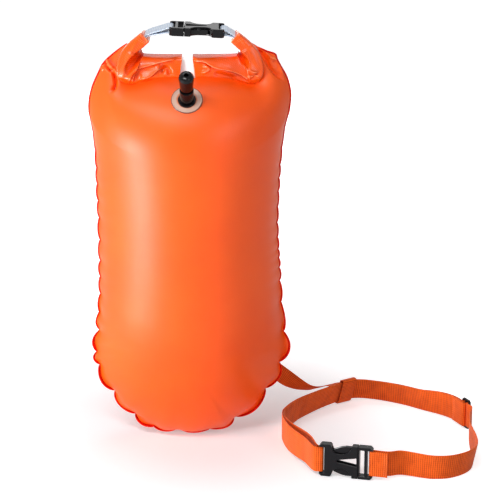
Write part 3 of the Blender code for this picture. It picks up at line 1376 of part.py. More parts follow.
def main():
    clear_scene()
    parts = new_collection("open_water_swim_buoy")
    cutters = new_collection("cutters")
    orange = (0.87, 0.13, 0.02)
    rim = (0.75, 0.03, 0.01)
    webbing = (0.80, 0.10, 0.02)
    white = (0.90, 0.90, 0.92)
    pale = (0.75, 0.84, 0.93)
    black = (0.02, 0.02, 0.025)
    clear = (0.78, 0.62, 0.52)
    steel = (0.62, 0.62, 0.64)

    add_panels(parts, cutters, orange)
    add_rim(parts, rim)
    add_roll(parts, cutters, orange, white)
    add_closure_tabs(parts, pale)
    add_buckle("closure", ("closure_latch_front", "closure_latch_rear"), top_buckle_place(), parts, cutters,
               black)
    add_valve(parts, cutters, black, clear, steel)
    add_anchor(parts, orange, steel)
    add_leash(parts, webbing)
    add_waist_strap(parts, webbing)
    add_slider(parts, black)
    add_buckle("belt", ("belt_latch_upper", "belt_latch_lower"), belt_buckle_place(), parts, cutters, black)


main()
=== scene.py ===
"""Looks of an open water swim buoy: an inflated roll-top bag, its air valve, and a tow belt on the ground."""

import logging
import math
from dataclasses import dataclass
from enum import Enum
from typing import Sequence

import bpy
import numpy as np
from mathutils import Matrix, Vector


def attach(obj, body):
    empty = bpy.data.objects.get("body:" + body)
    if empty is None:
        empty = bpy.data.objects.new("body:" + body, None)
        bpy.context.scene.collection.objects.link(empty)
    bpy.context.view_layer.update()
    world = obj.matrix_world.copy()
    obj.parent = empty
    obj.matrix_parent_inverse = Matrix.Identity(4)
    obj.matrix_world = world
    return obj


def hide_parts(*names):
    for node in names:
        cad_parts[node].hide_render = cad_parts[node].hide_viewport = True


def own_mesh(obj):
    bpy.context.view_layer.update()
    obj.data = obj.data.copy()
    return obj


log = logging.getLogger("swim_buoy")
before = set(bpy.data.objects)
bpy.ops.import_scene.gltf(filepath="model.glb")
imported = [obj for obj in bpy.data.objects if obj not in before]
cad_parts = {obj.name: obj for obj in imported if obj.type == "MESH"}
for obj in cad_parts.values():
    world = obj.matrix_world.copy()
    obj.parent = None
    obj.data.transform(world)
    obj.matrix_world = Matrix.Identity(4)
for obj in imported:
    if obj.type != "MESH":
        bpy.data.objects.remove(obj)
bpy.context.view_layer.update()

Points = np.ndarray
Tree = bpy.types.NodeTree
Socket = bpy.types.NodeSocket

TINY = 1e-9              # keeps divisions and powers away from zero
SHORTEST = 1e-12         # least length that a vector is divided by
SHARP_ABOVE = 50.0       # degrees between two faces above which their edge is shaded sharp
FOLD_STEPS = 6           # samples between two knots of a fold's line
FORM_STEPS = 12          # samples between two knots of a line of the bag's form
RUN_STEPS = 24           # samples between two knots of a strap's run
EDGE_STEPS = 4           # facets round a strap's rounded edge
WAVE_PERIOD = 0.314159   # metres from band to band of a wave texture at scale one
WHITE = (1.0, 1.0, 1.0, 1.0)


# Nodes and materials


def linear(code: str) -> tuple[float, float, float, float]:
    """Linear colour of an sRGB hex value.

    Args:
        code: six hex digits, with or without a leading hash.

    Returns:
        Red, green, blue and an alpha of one.
    """
    digits = code.lstrip("#")
    channels = [int(digits[i:i + 2], 16) / 255 for i in (0, 2, 4)]
    flat = [c / 12.92 if c <= 0.04045 else ((c + 0.055) / 1.055) ** 2.4 for c in channels]
    return (*flat, 1.0)


def add_node(tree: Tree, kind: str, settings: dict | None = None,
             links: dict | None = None) -> bpy.types.Node:
    """Adds a node to a tree with its settings and its inputs.

    Args:
        tree: the node tree.
        kind: the node's Blender type name.
        settings: attributes of the node by name.
        links: values or output sockets by the name or number of the input they go to.

    Returns:
        The new node.
    """
    node = tree.nodes.new(kind)
    for name, value in (settings or {}).items():
        setattr(node, name, value)
    for name, value in (links or {}).items():
        socket = node.inputs[name]
        if isinstance(value, Socket):
            tree.links.new(value, socket)
        else:
            socket.default_value = value
    return node


def blank_material(name: str) -> tuple[bpy.types.Material, Tree]:
    """A new material with an empty node tree.

    Args:
        name: the material's name.

    Returns:
        The material and its tree.
    """
    material = bpy.data.materials.new(name)
    material.use_nodes = True
    material.node_tree.nodes.clear()
    return material, material.node_tree


def close_material(tree: Tree, shader: Socket) -> None:
    """Joins a shader to the material's output."""
    add_node(tree, "ShaderNodeOutputMaterial", links={"Surface": shader})


def principled(material: bpy.types.Material, inputs: dict) -> bpy.types.Material:
    """Closes a material with a principled shader that has the given inputs."""
    shader = add_node(material.node_tree, "ShaderNodeBsdfPrincipled", links=inputs)
    close_material(material.node_tree, shader.outputs[0])
    return material


def cloth_map(tree: Tree) -> Socket:
    """The piece's own cloth coordinates, in metres."""
    return add_node(tree, "ShaderNodeUVMap", {"uv_map": "cloth"}).outputs[0]


def object_place(tree: Tree) -> Socket:
    """The place on the object, in metres."""
    return add_node(tree, "ShaderNodeTexCoord").outputs["Object"]


def noise(tree: Tree, spot: Socket, scale: float, detail: float) -> Socket:
    """Noise from zero to one, at a scale to the metre."""
    return add_node(tree, "ShaderNodeTexNoise",
                    links={"Vector": spot, "Scale": scale, "Detail": detail}).outputs["Fac"]


def bands(tree: Tree, cloth: Socket, way: str, period: float, waver: float, detail: float,
          detail_scale: float = 1.0) -> Socket:
    """Wavy parallel bands, from zero to one.

    Args:
        tree: the node tree.
        cloth: coordinates in metres.
        way: axis across the bands, X or Y.
        period: metres from band to band.
        waver: how far noise bends them.
        detail: that noise's detail.
        detail_scale: and its scale.

    Returns:
        The bands' socket.
    """
    return add_node(tree, "ShaderNodeTexWave", {"bands_direction": way},
                    {"Vector": cloth, "Scale": WAVE_PERIOD / period, "Distortion": waver, "Detail": detail,
                     "Detail Scale": detail_scale}).outputs["Fac"]


def calculated(tree: Tree, operation: str, *values: Socket | float) -> Socket:
    """Result of one operation on sockets and numbers."""
    return add_node(tree, "ShaderNodeMath", {"operation": operation}, dict(enumerate(values))).outputs[0]


def times_plus(tree: Tree, value: Socket, factor: float, more: Socket | float) -> Socket:
    """A value times a factor, plus another one."""
    return calculated(tree, "MULTIPLY_ADD", value, factor, more)


def ramp(tree: Tree, value: Socket, start: float, stop: float, low: float = 0.0, high: float = 1.0,
         smooth: bool = False) -> Socket:
    """A value's range stretched onto another, and held at its ends.

    Args:
        tree: the node tree.
        value: the value.
        start: where it gives low.
        stop: where it gives high.
        low: result at the start.
        high: result at the stop.
        smooth: whether the ends are eased.

    Returns:
        The result's socket.
    """
    return add_node(tree, "ShaderNodeMapRange", {"interpolation_type": "SMOOTHSTEP" if smooth else "LINEAR"},
                    {"Value": value, "From Min": start, "From Max": stop, "To Min": low,
                     "To Max": high}).outputs[0]


def blend(tree: Tree, share: Socket, low: Socket | tuple, high: Socket | tuple) -> Socket:
    """Colour between two, by a share from zero to one."""
    return add_node(tree, "ShaderNodeMix", {"data_type": "RGBA"}, {0: share, 6: low, 7: high}).outputs[2]


def bumped(tree: Tree, height: Socket, strength: float, distance: float) -> Socket:
    """Normal of a surface with a relief of some strength, over a distance in metres."""
    return add_node(tree, "ShaderNodeBump", links={"Height": height, "Strength": strength,
                                                   "Distance": distance}).outputs[0]


def dress(item: bpy.types.Object, material: bpy.types.Material) -> None:
    """Gives an object one material in place of those it has."""
    item.data.materials.clear()
    item.data.materials.append(material)


# Curves, folds and grids


def through(knots: Sequence, steps: int) -> Points:
    """Smooth curve through knots: a centripetal Catmull-Rom spline.

    Each piece blends the straight lines through four knots, weighted by the square roots of the
    distances between them, so it passes through every knot without overshooting.

    Args:
        knots: points in two or three dimensions.
        steps: samples for each piece between two knots.

    Returns:
        Array of (len(knots) - 1) * steps + 1 points.
    """
    knots = np.asarray(knots, float)
    fence = np.vstack([2 * knots[0] - knots[1], knots, 2 * knots[-1] - knots[-2]])
    gaps = np.sqrt(np.linalg.norm(np.diff(fence, axis=0), axis=1))
    gaps = np.maximum(gaps, TINY)
    share = np.linspace(0.0, 1.0, steps + 1)[None, 1:, None]
    p0, p1, p2, p3 = (fence[i:len(fence) - 3 + i, None, :] for i in range(4))
    g0, g1, g2 = (gaps[i:len(gaps) - 2 + i, None, None] for i in range(3))
    t0, t1, t2, t3 = 0.0 * g0, g0, g0 + g1, g0 + g1 + g2
    t = t1 + share * g1
    a1 = ((t1 - t) * p0 + (t - t0) * p1) / g0
    a2 = ((t2 - t) * p1 + (t - t1) * p2) / g1
    a3 = ((t3 - t) * p2 + (t - t2) * p3) / g2
    b1 = ((t2 - t) * a1 + (t - t0) * a2) / (g0 + g1)
    b2 = ((t3 - t) * a2 + (t - t1) * a3) / (g1 + g2)
    curve = ((t2 - t) * b1 + (t - t1) * b2) / g1
    return np.vstack([knots[:1], curve.reshape(-1, knots.shape[1])])


def lengths_along(line: Points) -> Points:
    """Length from the start of a polyline to each of its points."""
    return np.concatenate([[0.0], np.cumsum(np.linalg.norm(np.diff(line, axis=0), axis=1))])


def at_share(line: Points, share: Points) -> Points:
    """Points at shares of a polyline's length.

    Args:
        line: the polyline's points.
        share: shares from zero to one, in any array shape.

    Returns:
        The points, with the coordinates in a last axis.
    """
    along = lengths_along(line)
    want = np.asarray(share, float) * along[-1]
    return np.stack([np.interp(want, along, line[:, k]) for k in range(line.shape[1])], axis=-1)


def spread_evenly(line: Points, step: float) -> Points:
    """A polyline's points again, about a step apart along its length."""
    count = max(2, round(lengths_along(line)[-1] / step) + 1)
    return at_share(line, np.linspace(0.0, 1.0, count))


def ease(value: Points) -> Points:
    """Smooth step from zero to one: three times the square less twice the cube."""
    value = np.clip(value, 0.0, 1.0)
    return value * value * (3.0 - 2.0 * value)


def whole_turn(count: int) -> Points:
    """Angles evenly spaced round a circle, in radians."""
    return np.linspace(0.0, 2 * math.pi, count, endpoint=False)


def hill(gap: Points, width: float) -> Points:
    """Gaussian: e to the power of less the square of the gap over the width."""
    return np.exp(-(gap / width) ** 2)


def unit(vectors: Points) -> Points:
    """Vectors at length one, along the last axis."""
    return vectors / np.maximum(np.linalg.norm(vectors, axis=-1, keepdims=True), SHORTEST)


def ways_and_left(line: Points) -> tuple[Points, Points]:
    """Unit vectors along a line in two dimensions, and to its left."""
    way = unit(np.gradient(line, axis=0))
    return way, np.stack([-way[:, 1], way[:, 0]], axis=-1)


def grid_normals(grid: Points, wrap: bool = False) -> Points:
    """Unit normals of a grid of points: the cross product of its two central differences.

    Args:
        grid: points as rows by columns by three.
        wrap: whether the last column joins the first.

    Returns:
        Normals in the same shape, along rows cross columns.
    """
    down = np.gradient(grid, axis=0)
    if wrap:
        over = np.roll(grid, -1, axis=1) - np.roll(grid, 1, axis=1)
    else:
        over = np.gradient(grid, axis=1)
    return unit(np.cross(over, down))


def distance_to(line: Points, spots: Points) -> tuple[Points, Points]:
    """Distance from spots to a polyline, and the share of its length at the nearest place.

    Args:
        line: polyline points in two dimensions.
        spots: spots in any array shape, with two coordinates in the last axis.

    Returns:
        Distances, positive to the left of the line's way, and shares, in the spots' shape.
    """
    along = lengths_along(line)
    best = np.full(spots.shape[:-1], np.inf)
    side = np.ones(spots.shape[:-1])
    where = np.zeros(spots.shape[:-1])
    for i, (a, b) in enumerate(zip(line[:-1], line[1:])):
        way = b - a
        size = float(way @ way) + TINY ** 2
        t = np.clip(((spots - a) @ way) / size, 0.0, 1.0)
        gap = np.linalg.norm(spots - (a + t[..., None] * way), axis=-1)
        nearer = gap < best
        best = np.where(nearer, gap, best)
        turn = way[0] * (spots[..., 1] - a[1]) - way[1] * (spots[..., 0] - a[0])
        side = np.where(nearer, np.where(turn < 0.0, -1.0, 1.0), side)
        where = np.where(nearer, (along[i] + t * (along[i + 1] - along[i])) / along[-1], where)
    return best * side, where


def beside(line: Sequence, fade: float, spots: Points) -> tuple[Points, Points]:
    """Distance of spots from a curve, and one along it that falls to nothing at its ends.

    Args:
        line: the curve's knots in front view.
        fade: share of its length over which each end fades.
        spots: spots in front view.

    Returns:
        Distances, positive to the left of the curve's way, and the fading.
    """
    gap, share = distance_to(through(line, FOLD_STEPS), spots)
    return gap, ease(np.minimum(share, 1.0 - share) / fade)


@dataclass(frozen=True)
class Fold:
    """A ridge or valley in cloth along a line: a Gaussian bump that fades at its ends.

    The line is in front view, x and z in metres. A ridge has a positive height.
    """

    line: tuple
    width: float
    height: float
    fade: float = 0.25
    tip: float = 0.15            # share of the height that is left at the very ends

    def lift(self, spots: Points) -> Points:
        """Height of the fold over spots in front view."""
        gap, ends = beside(self.line, self.fade, spots)
        return self.height * hill(gap, self.width) * (self.tip + (1.0 - self.tip) * ends)


@dataclass(frozen=True)
class Overlap:
    """Edge of a layer that lies on another: a step up to the left of a line, sinking away behind it.

    The lift is the step's height times a smooth step over its sharpness, times a Gaussian of the
    distance behind the line over its reach.
    """

    line: tuple
    rise: float
    sharp: float
    reach: float
    fade: float = 0.2

    def lift(self, spots: Points) -> Points:
        """Height of the layer over spots in front view."""
        gap, ends = beside(self.line, self.fade, spots)
        step = ease(gap / self.sharp + 0.5)
        return self.rise * step * hill(np.maximum(gap, 0.0), self.reach) * ends


def folded(grid: Points, folds: Sequence[Fold | Overlap], facing: float) -> Points:
    """Closed grid pushed straight to the front or the back by folds on that side.

    The folds fade out where the surface turns away from that side, by a smooth step of its normal.

    Args:
        grid: points as rows by columns by three, the last column joining the first.
        folds: the ridges, valleys and overlaps.
        facing: -1 for folds on the front, 1 for folds on the back.

    Returns:
        The moved points.
    """
    steepness, least = 2.5, 0.2
    shown = ease(grid_normals(grid, wrap=True)[..., 1] * facing * steepness + least)
    total = sum(fold.lift(grid[..., [0, 2]]) for fold in folds)
    return grid + np.array([0.0, facing, 0.0]) * (total * shown)[..., None]


def cloth_lengths(grid: Points, middle: int = 0) -> Points:
    """Flat coordinates of cloth over a grid: lengths along its rows and its columns, in metres.

    Args:
        grid: points as rows by columns by three.
        middle: column from which the length across is counted.

    Returns:
        Rows by columns by two.
    """
    over = np.cumsum(np.linalg.norm(np.diff(grid, axis=1, prepend=grid[:, :1]), axis=2), axis=1)
    over -= over[:, middle:middle + 1]
    down = np.cumsum(np.linalg.norm(np.diff(grid, axis=0, prepend=grid[:1]), axis=2), axis=0)
    return np.stack([over, down], axis=-1)


def quads_of(index: Points) -> Points:
    """Corners of the quads between neighbours in a grid of numbers, four to a row."""
    corners = [index[:-1, :-1], index[:-1, 1:], index[1:, 1:], index[1:, :-1]]
    return np.stack(corners, axis=-1).reshape(-1, 4)


def grid_mesh(name: str, grid: Points, flat: Points | None = None, wrap: bool = False,
              caps: bool = False, ring: bool = False) -> bpy.types.Mesh:
    """Mesh of quads over a grid of points.

    Args:
        name: the mesh's name.
        grid: points as rows by columns by three.
        flat: cloth coordinates for the UV map, one column or row more than the grid where it joins.
        wrap: whether the last column joins the first.
        caps: whether the first and last row of a wrapped grid are closed by flat faces.
        ring: whether the last row joins the first.

    Returns:
        The mesh, shaded smooth.
    """
    rows, columns = grid.shape[:2]
    index = np.arange(rows * columns).reshape(rows, columns)
    if wrap:
        index = np.hstack([index, index[:, :1]])
    if ring:
        index = np.vstack([index, index[:1]])
    quads = quads_of(index)
    corners = quads.reshape(-1)
    totals = np.full(len(quads), 4)
    if caps:
        corners = np.concatenate([corners, index[0, :columns][::-1], index[-1, :columns]])
        totals = np.concatenate([totals, [columns, columns]])
    mesh = bpy.data.meshes.new(name)
    mesh.vertices.add(rows * columns)
    mesh.vertices.foreach_set("co", grid.reshape(-1).astype(np.float32))
    mesh.loops.add(len(corners))
    mesh.loops.foreach_set("vertex_index", corners.astype(np.int32))
    mesh.polygons.add(len(totals))
    starts = np.concatenate([[0], np.cumsum(totals)[:-1]])
    mesh.polygons.foreach_set("loop_start", starts.astype(np.int32))
    mesh.update(calc_edges=True)
    if flat is not None:
        number = np.arange(flat.shape[0] * flat.shape[1]).reshape(flat.shape[:2])
        spots = flat.reshape(-1, 2)[quads_of(number).reshape(-1)]
        if caps:
            ends = np.concatenate([flat[0, :columns][::-1], flat[-1, :columns]])
            spots = np.vstack([spots, ends])
        layer = mesh.uv_layers.new(name="cloth")
        layer.data.foreach_set("uv", spots.reshape(-1).astype(np.float32))
    mesh.shade_smooth()
    mesh.set_sharp_from_angle(angle=math.radians(SHARP_ABOVE))
    return mesh


def band_section(width: Points, thickness: float, across: int = 12) -> tuple[Points, Points, Points]:
    """Closed section of a flat strap with rounded edges.

    Two flat faces are joined by half circles. Points go round once: over the upper face from the
    low edge to the high one, round it, and back over the lower face.

    Args:
        width: the strap's width at each place, as rows by one.
        thickness: its thickness.
        across: points on each face.

    Returns:
        Offsets across and out for each place, and the length round the section, as rows by points.
    """
    radius = thickness / 2
    face = np.linspace(-1.0, 1.0, across)[None, :] * (width / 2 - radius)
    turn = np.linspace(math.pi / 2, -math.pi / 2, EDGE_STEPS + 1)[1:-1]
    tip = (width / 2 - radius) + radius * np.cos(turn)[None, :]
    lift = np.broadcast_to(radius * np.sin(turn)[None, :], tip.shape)
    flat = np.full(face.shape, radius)
    over = np.hstack([face, tip, -face, -tip])
    out = np.hstack([flat, lift, -flat, -lift])
    closed_over = np.hstack([over, over[:, :1]])
    closed_out = np.hstack([out, out[:, :1]])
    steps = np.hypot(np.diff(closed_over, axis=1), np.diff(closed_out, axis=1))
    return over, out, np.hstack([np.zeros((len(over), 1)), np.cumsum(steps, axis=1)])


def strap_mesh(name: str, low: Points, high: Points, thickness: float) -> bpy.types.Mesh:
    """Flat strap swept between the lines of its two edges.

    At each place the section stands across the strap's way: its width lies from edge to edge, and
    its thickness along the cross product of the way and the width.

    Args:
        name: the mesh's name.
        low: points of one edge.
        high: points of the other edge, matched one by one.
        thickness: the strap's thickness.

    Returns:
        A closed mesh with the cloth's UV map, its second coordinate along the strap.
    """
    middle = (low + high) / 2
    side = high - low
    width = np.linalg.norm(side, axis=1, keepdims=True)
    side = unit(side)
    along = lengths_along(middle)
    way = unit(np.gradient(middle, along, axis=0))
    out = unit(np.cross(side, way))
    over, rise, around = band_section(width, thickness)
    grid = middle[:, None] + side[:, None] * over[..., None] + out[:, None] * rise[..., None]
    flat = np.stack([around, np.broadcast_to(along[:, None], around.shape)], axis=-1)
    return grid_mesh(name, grid, flat, wrap=True, caps=True)


@dataclass(frozen=True)
class Thread:
    """Sewing thread: rows of short stitches that stand a little proud of the cloth."""

    pitch: float = 0.0030        # metres from stitch to stitch
    length: float = 0.0023
    radius: float = 0.00042
    blunt: float = 0.03          # share of its length that each small cap cuts off
    swell: float = 0.6           # power of the sine; less is fuller
    rings: int = 6
    sides: int = 6

    def row(self, line: Points, normals: Points) -> tuple[Points, Points, Points]:
        """Ends and normals of the stitches along a line.

        Args:
            line: points on the cloth.
            normals: the cloth's normals at them.

        Returns:
            Starts, ends and normals, one row for each stitch.
        """
        total = lengths_along(line)[-1]
        middles = (np.arange(max(1, int(total / self.pitch))) + 0.5) * self.pitch
        lead = self.length / 2
        starts, ends = at_share(line, (middles - lead) / total), at_share(line, (middles + lead) / total)
        share = lengths_along(line) / total
        up = np.stack([np.interp(middles / total, share, normals[:, k]) for k in range(3)], axis=-1)
        return starts, ends, unit(up)

    def mesh(self, name: str, rows: Sequence[tuple[Points, Points, Points]]) -> bpy.types.Mesh:
        """Mesh of all stitches: each is a spindle whose radius is a power of the sine along it.

        Args:
            name: the mesh's name.
            rows: starts, ends and normals of the stitches, as row gives them.

        Returns:
            The mesh, each stitch closed by two small caps.
        """
        starts, ends, up = (np.concatenate([row[k] for row in rows]) for k in range(3))
        share = np.linspace(self.blunt, 1.0 - self.blunt, self.rings)
        swell = self.radius * np.sin(math.pi * share) ** self.swell
        angle = whole_turn(self.sides)
        side = unit(np.cross(ends - starts, up))
        spine = starts[:, None] + (ends - starts)[:, None] * share[None, :, None]
        around = side[:, None, None] * np.cos(angle)[:, None] + up[:, None, None] * np.sin(angle)[:, None]
        spots = (spine[:, :, None] + around * swell[None, :, None, None]).reshape(-1, 3)
        count = self.rings * self.sides
        index = np.arange(count).reshape(self.rings, self.sides)
        index = np.hstack([index, index[:, :1]])
        quads = quads_of(index.T)
        first = np.arange(len(starts)) * count
        faces = (quads[None] + first[:, None, None]).reshape(-1, 4).tolist()
        caps = np.stack([index[0, :-1], index[-1, :-1][::-1]])
        faces += (caps[None] + first[:, None, None]).reshape(-1, self.sides).tolist()
        mesh = bpy.data.meshes.new(name)
        mesh.from_pydata(spots.tolist(), [], faces)
        mesh.shade_smooth()
        return mesh


def across_strap(low: Points, high: Points, places: Sequence[float], facing: Points,
                 lift: float, margin: float) -> list[tuple[Points, Points, Points]]:
    """Rows of stitches across a strap.

    Args:
        low: points of one edge of the strap.
        high: points of the other edge.
        places: lengths along the strap where rows are sewn, from its end where negative.
        facing: a direction that the sewn face looks to.
        lift: half the strap's thickness.
        margin: room left at both edges.

    Returns:
        One row of stitches for each place.
    """
    middle = (low + high) / 2
    along = lengths_along(middle)
    near = 0.002                 # share of the strap's length that shows its way at a row
    rows = []
    for spot in places:
        share = (spot if spot > 0 else along[-1] + spot) / along[-1]
        ends = [np.array([np.interp(share * along[-1], along, edge[:, k]) for k in range(3)])
                for edge in (low, high)]
        ahead = at_share(middle, share + near) - at_share(middle, share - near)
        side = unit(ends[1] - ends[0])
        normal = unit(np.cross(side, ahead))
        normal = normal if normal @ facing > 0 else -normal
        line = np.array([ends[0] + side * margin, ends[1] - side * margin]) + normal * lift
        rows.append(Thread().row(line, np.array([normal, normal])))
    return rows


def sewn_ends(low: Points, high: Points, places: Sequence[float], faces: tuple[Points, Points],
              lift: float, margin: float) -> list[tuple[Points, Points, Points]]:
    """Rows of stitches across a strap at the same lengths from its start and from its end.

    Args:
        low: points of one edge of the strap.
        high: points of the other edge.
        places: lengths from each end where rows are sewn.
        faces: directions that the sewn face looks to, at the start and at the end.
        lift: half the strap's thickness.
        margin: room left at both edges.

    Returns:
        The rows of stitches.
    """
    return [row for sign, facing in zip((1, -1), faces)
            for row in across_strap(low, high, [sign * spot for spot in places], facing, lift, margin)]


# The stage


@dataclass
class Studio:
    """Plain pale floor, soft lamps and the camera at the photograph's angle."""

    camera_place: tuple[float, float, float] = (0.0600, -2.7688, 1.1867)
    camera_tilt: float = math.radians(72.0)
    lens: float = 144.0
    sensor: float = 36.0
    shift: float = 0.04
    sight: float = 60.0                  # metres
    aim: tuple[float, float, float] = (0.08, 0.0, 0.3)
    floor_size: float = 14.0
    floor_level: float = -0.0006
    floor_colour: str = "#E9E6E8"
    world_colour: str = "#F4F4F6"
    world_strength: float = 0.12
    near_glow: float = 0.26
    far_glow: float = 0.92
    glow_start: float = 0.08             # metres from the part's origin
    glow_end: float = 0.6
    lamps: tuple = (
        ("key_lamp", (-1.10, -0.74, 0.20), 0.42, 0.46, 20.0),
        ("front_lamp", (-0.75, -1.5, 2.2), 1.8, 0.30, 32.0),
        ("fill_lamp", (1.8, -2.6, 1.2), 1.0, 1.0, 19.0),
        ("top_lamp", (-0.2, 0.5, 2.6), 1.0, 1.0, 12.0),
        ("back_lamp", (-0.5, 2.2, 0.30), 1.4, 0.4, 15.0),
    )

    def build(self) -> None:
        """Adds camera, floor, world and lamps."""
        self.add_camera()
        self.add_floor()
        self.add_world()
        for lamp in self.lamps:
            self.add_lamp(*lamp)
        bpy.context.scene.view_settings.view_transform = "Standard"

    def add_camera(self) -> None:
        """The photograph's camera: a long lens, a little above, with a small shift."""
        data = bpy.data.cameras.new("camera")
        data.lens = self.lens
        data.sensor_width = self.sensor
        data.shift_x = self.shift
        data.clip_end = self.sight
        item = bpy.data.objects.new("camera", data)
        item.location = self.camera_place
        item.rotation_euler = (self.camera_tilt, 0.0, 0.0)
        bpy.context.scene.collection.objects.link(item)
        bpy.context.scene.camera = item

    def add_lamp(self, name: str, spot: tuple, width: float, tall: float, power: float) -> None:
        """Adds one soft rectangular lamp that looks at the bag's middle.

        Args:
            name: lamp's name.
            spot: where it stands, in metres.
            width: its width in metres.
            tall: its height in metres.
            power: its power in watts.
        """
        data = bpy.data.lights.new(name, "AREA")
        data.shape = "RECTANGLE"
        data.size, data.size_y = width, tall
        data.energy = power
        item = bpy.data.objects.new(name, data)
        item.location = spot
        way = Vector(self.aim) - Vector(spot)
        item.rotation_euler = way.to_track_quat("-Z", "Y").to_euler()
        item.visible_camera = False
        bpy.context.scene.collection.objects.link(item)

    def seen_directly(self, tree: Tree) -> Socket:
        """One where a camera, mirror or glass ray looks, zero for light that falls on things."""
        path = add_node(tree, "ShaderNodeLightPath").outputs
        first = calculated(tree, "MAXIMUM", path["Is Camera Ray"], path["Is Glossy Ray"])
        return calculated(tree, "MAXIMUM", first, path["Is Transmission Ray"])

    def add_floor(self) -> None:
        """White floor that keeps the object's shadow.

        It glows to what looks at it, and less near the object, so that it meets the white
        surroundings and the shadow still shows.
        """
        half = self.floor_size / 2
        mesh = bpy.data.meshes.new("floor")
        corners = [(-half, -half), (half, -half), (half, half), (-half, half)]
        mesh.from_pydata([(x, y, self.floor_level) for x, y in corners], [], [(0, 1, 2, 3)])
        item = bpy.data.objects.new("floor", mesh)
        bpy.context.scene.collection.objects.link(item)
        material, tree = blank_material("white_studio_floor")
        flat = add_node(tree, "ShaderNodeBsdfDiffuse", links={"Color": linear(self.floor_colour)})
        far = add_node(tree, "ShaderNodeVectorMath", {"operation": "LENGTH"}, {0: object_place(tree)})
        level = ramp(tree, far.outputs["Value"], self.glow_start, self.glow_end, self.near_glow,
                     self.far_glow, smooth=True)
        glow = calculated(tree, "MULTIPLY", self.seen_directly(tree), level)
        lift = add_node(tree, "ShaderNodeEmission", links={"Color": WHITE, "Strength": glow})
        both = add_node(tree, "ShaderNodeAddShader", links={0: flat.outputs[0], 1: lift.outputs[0]})
        close_material(tree, both.outputs[0])
        dress(item, material)

    def add_world(self) -> None:
        """White surroundings to look at, and a plain level of light from all sides."""
        world = bpy.data.worlds.new("studio")
        bpy.context.scene.world = world
        world.use_nodes = True
        tree = world.node_tree
        tree.nodes.clear()
        around = add_node(tree, "ShaderNodeBackground",
                          links={"Color": linear(self.world_colour), "Strength": self.world_strength})
        white = add_node(tree, "ShaderNodeBackground", links={"Color": WHITE, "Strength": 1.0})
        mix = add_node(tree, "ShaderNodeMixShader",
                       links={0: self.seen_directly(tree), 1: around.outputs[0], 2: white.outputs[0]})
        add_node(tree, "ShaderNodeOutputWorld", links={"Surface": mix.outputs[0]})


# Finishes


@dataclass(frozen=True)
class CoatedFabric:
    """Nylon with a polyurethane skin: satin, with the weave just showing, soft shifts of tone, painted shade
    in its creases and a painted highlight on its ridges.
    """

    name: str
    colour: str
    shade: str
    roughness: float
    gloss: float
    thread: float = 0.0023           # metres; the real 0.7 mm weave is drawn coarser so that it shows
    depth: float = 0.00012           # metres
    # painted shade: a darker colour mixed in where the mesh is hollow, in creases
    painted_crease_shade: str = "#CC3204"
    # painted highlight: a paler colour mixed in where the mesh is sharp, on ridges
    painted_ridge_highlight: str = "#FF8848"
    weft_spacing: float = 1.25       # how much further apart the weft lies than the warp
    warp_share: float = 0.6
    weave_tone: float = 0.22         # how far the weave shifts the tone beside the slow noise
    clouds: float = 9.0              # slow noise, to a metre
    tones: tuple = (0.3, 0.95)       # their sum at the shade and at the full colour
    painted_shade_span: tuple = (0.496, 0.40)    # pointiness where the painted crease shade begins and where it is darkest
    ridge: tuple = (0.510, 0.575)    # pointiness where the painted ridge highlight begins and where it is palest
    rougher: tuple = (-0.04, 0.05)   # roughness between the threads and on them, over the plain value
    bump: float = 0.35

    def build(self) -> bpy.types.Material:
        """Threads across and along the cloth, mixed with slow noise, for colour and bump.

        Shade is painted into creases and a highlight onto ridges, by the mesh's pointiness: darker where it
        is hollow, paler where it is sharp.
        """
        material, tree = blank_material(self.name)
        cloth = cloth_map(tree)
        warp, weft = (bands(tree, cloth, way, period, waver=0.5, detail=2.0, detail_scale=0.4)
                      for way, period in (("X", self.thread), ("Y", self.thread * self.weft_spacing)))
        weave = times_plus(tree, weft, 1.0 - self.warp_share, times_plus(tree, warp, self.warp_share, 0.0))
        cloud = noise(tree, object_place(tree), self.clouds, detail=3.0)
        tone = times_plus(tree, weave, self.weave_tone, cloud)
        plain = blend(tree, ramp(tree, tone, *self.tones), linear(self.shade), linear(self.colour))
        # painted shade in creases and painted highlight on ridges, both from the mesh's pointiness
        curve = add_node(tree, "ShaderNodeNewGeometry").outputs["Pointiness"]
        with_painted_shade = blend(tree, ramp(tree, curve, *self.painted_shade_span, smooth=True), plain, linear(self.painted_crease_shade))
        colour = blend(tree, ramp(tree, curve, *self.ridge, smooth=True), with_painted_shade, linear(self.painted_ridge_highlight))
        low, high = (self.roughness + more for more in self.rougher)
        return principled(material, {"Base Color": colour,
                                     "Roughness": ramp(tree, weave, 0.0, 1.0, low, high),
                                     "Normal": bumped(tree, weave, self.bump, self.depth),
                                     "Specular IOR Level": self.gloss})


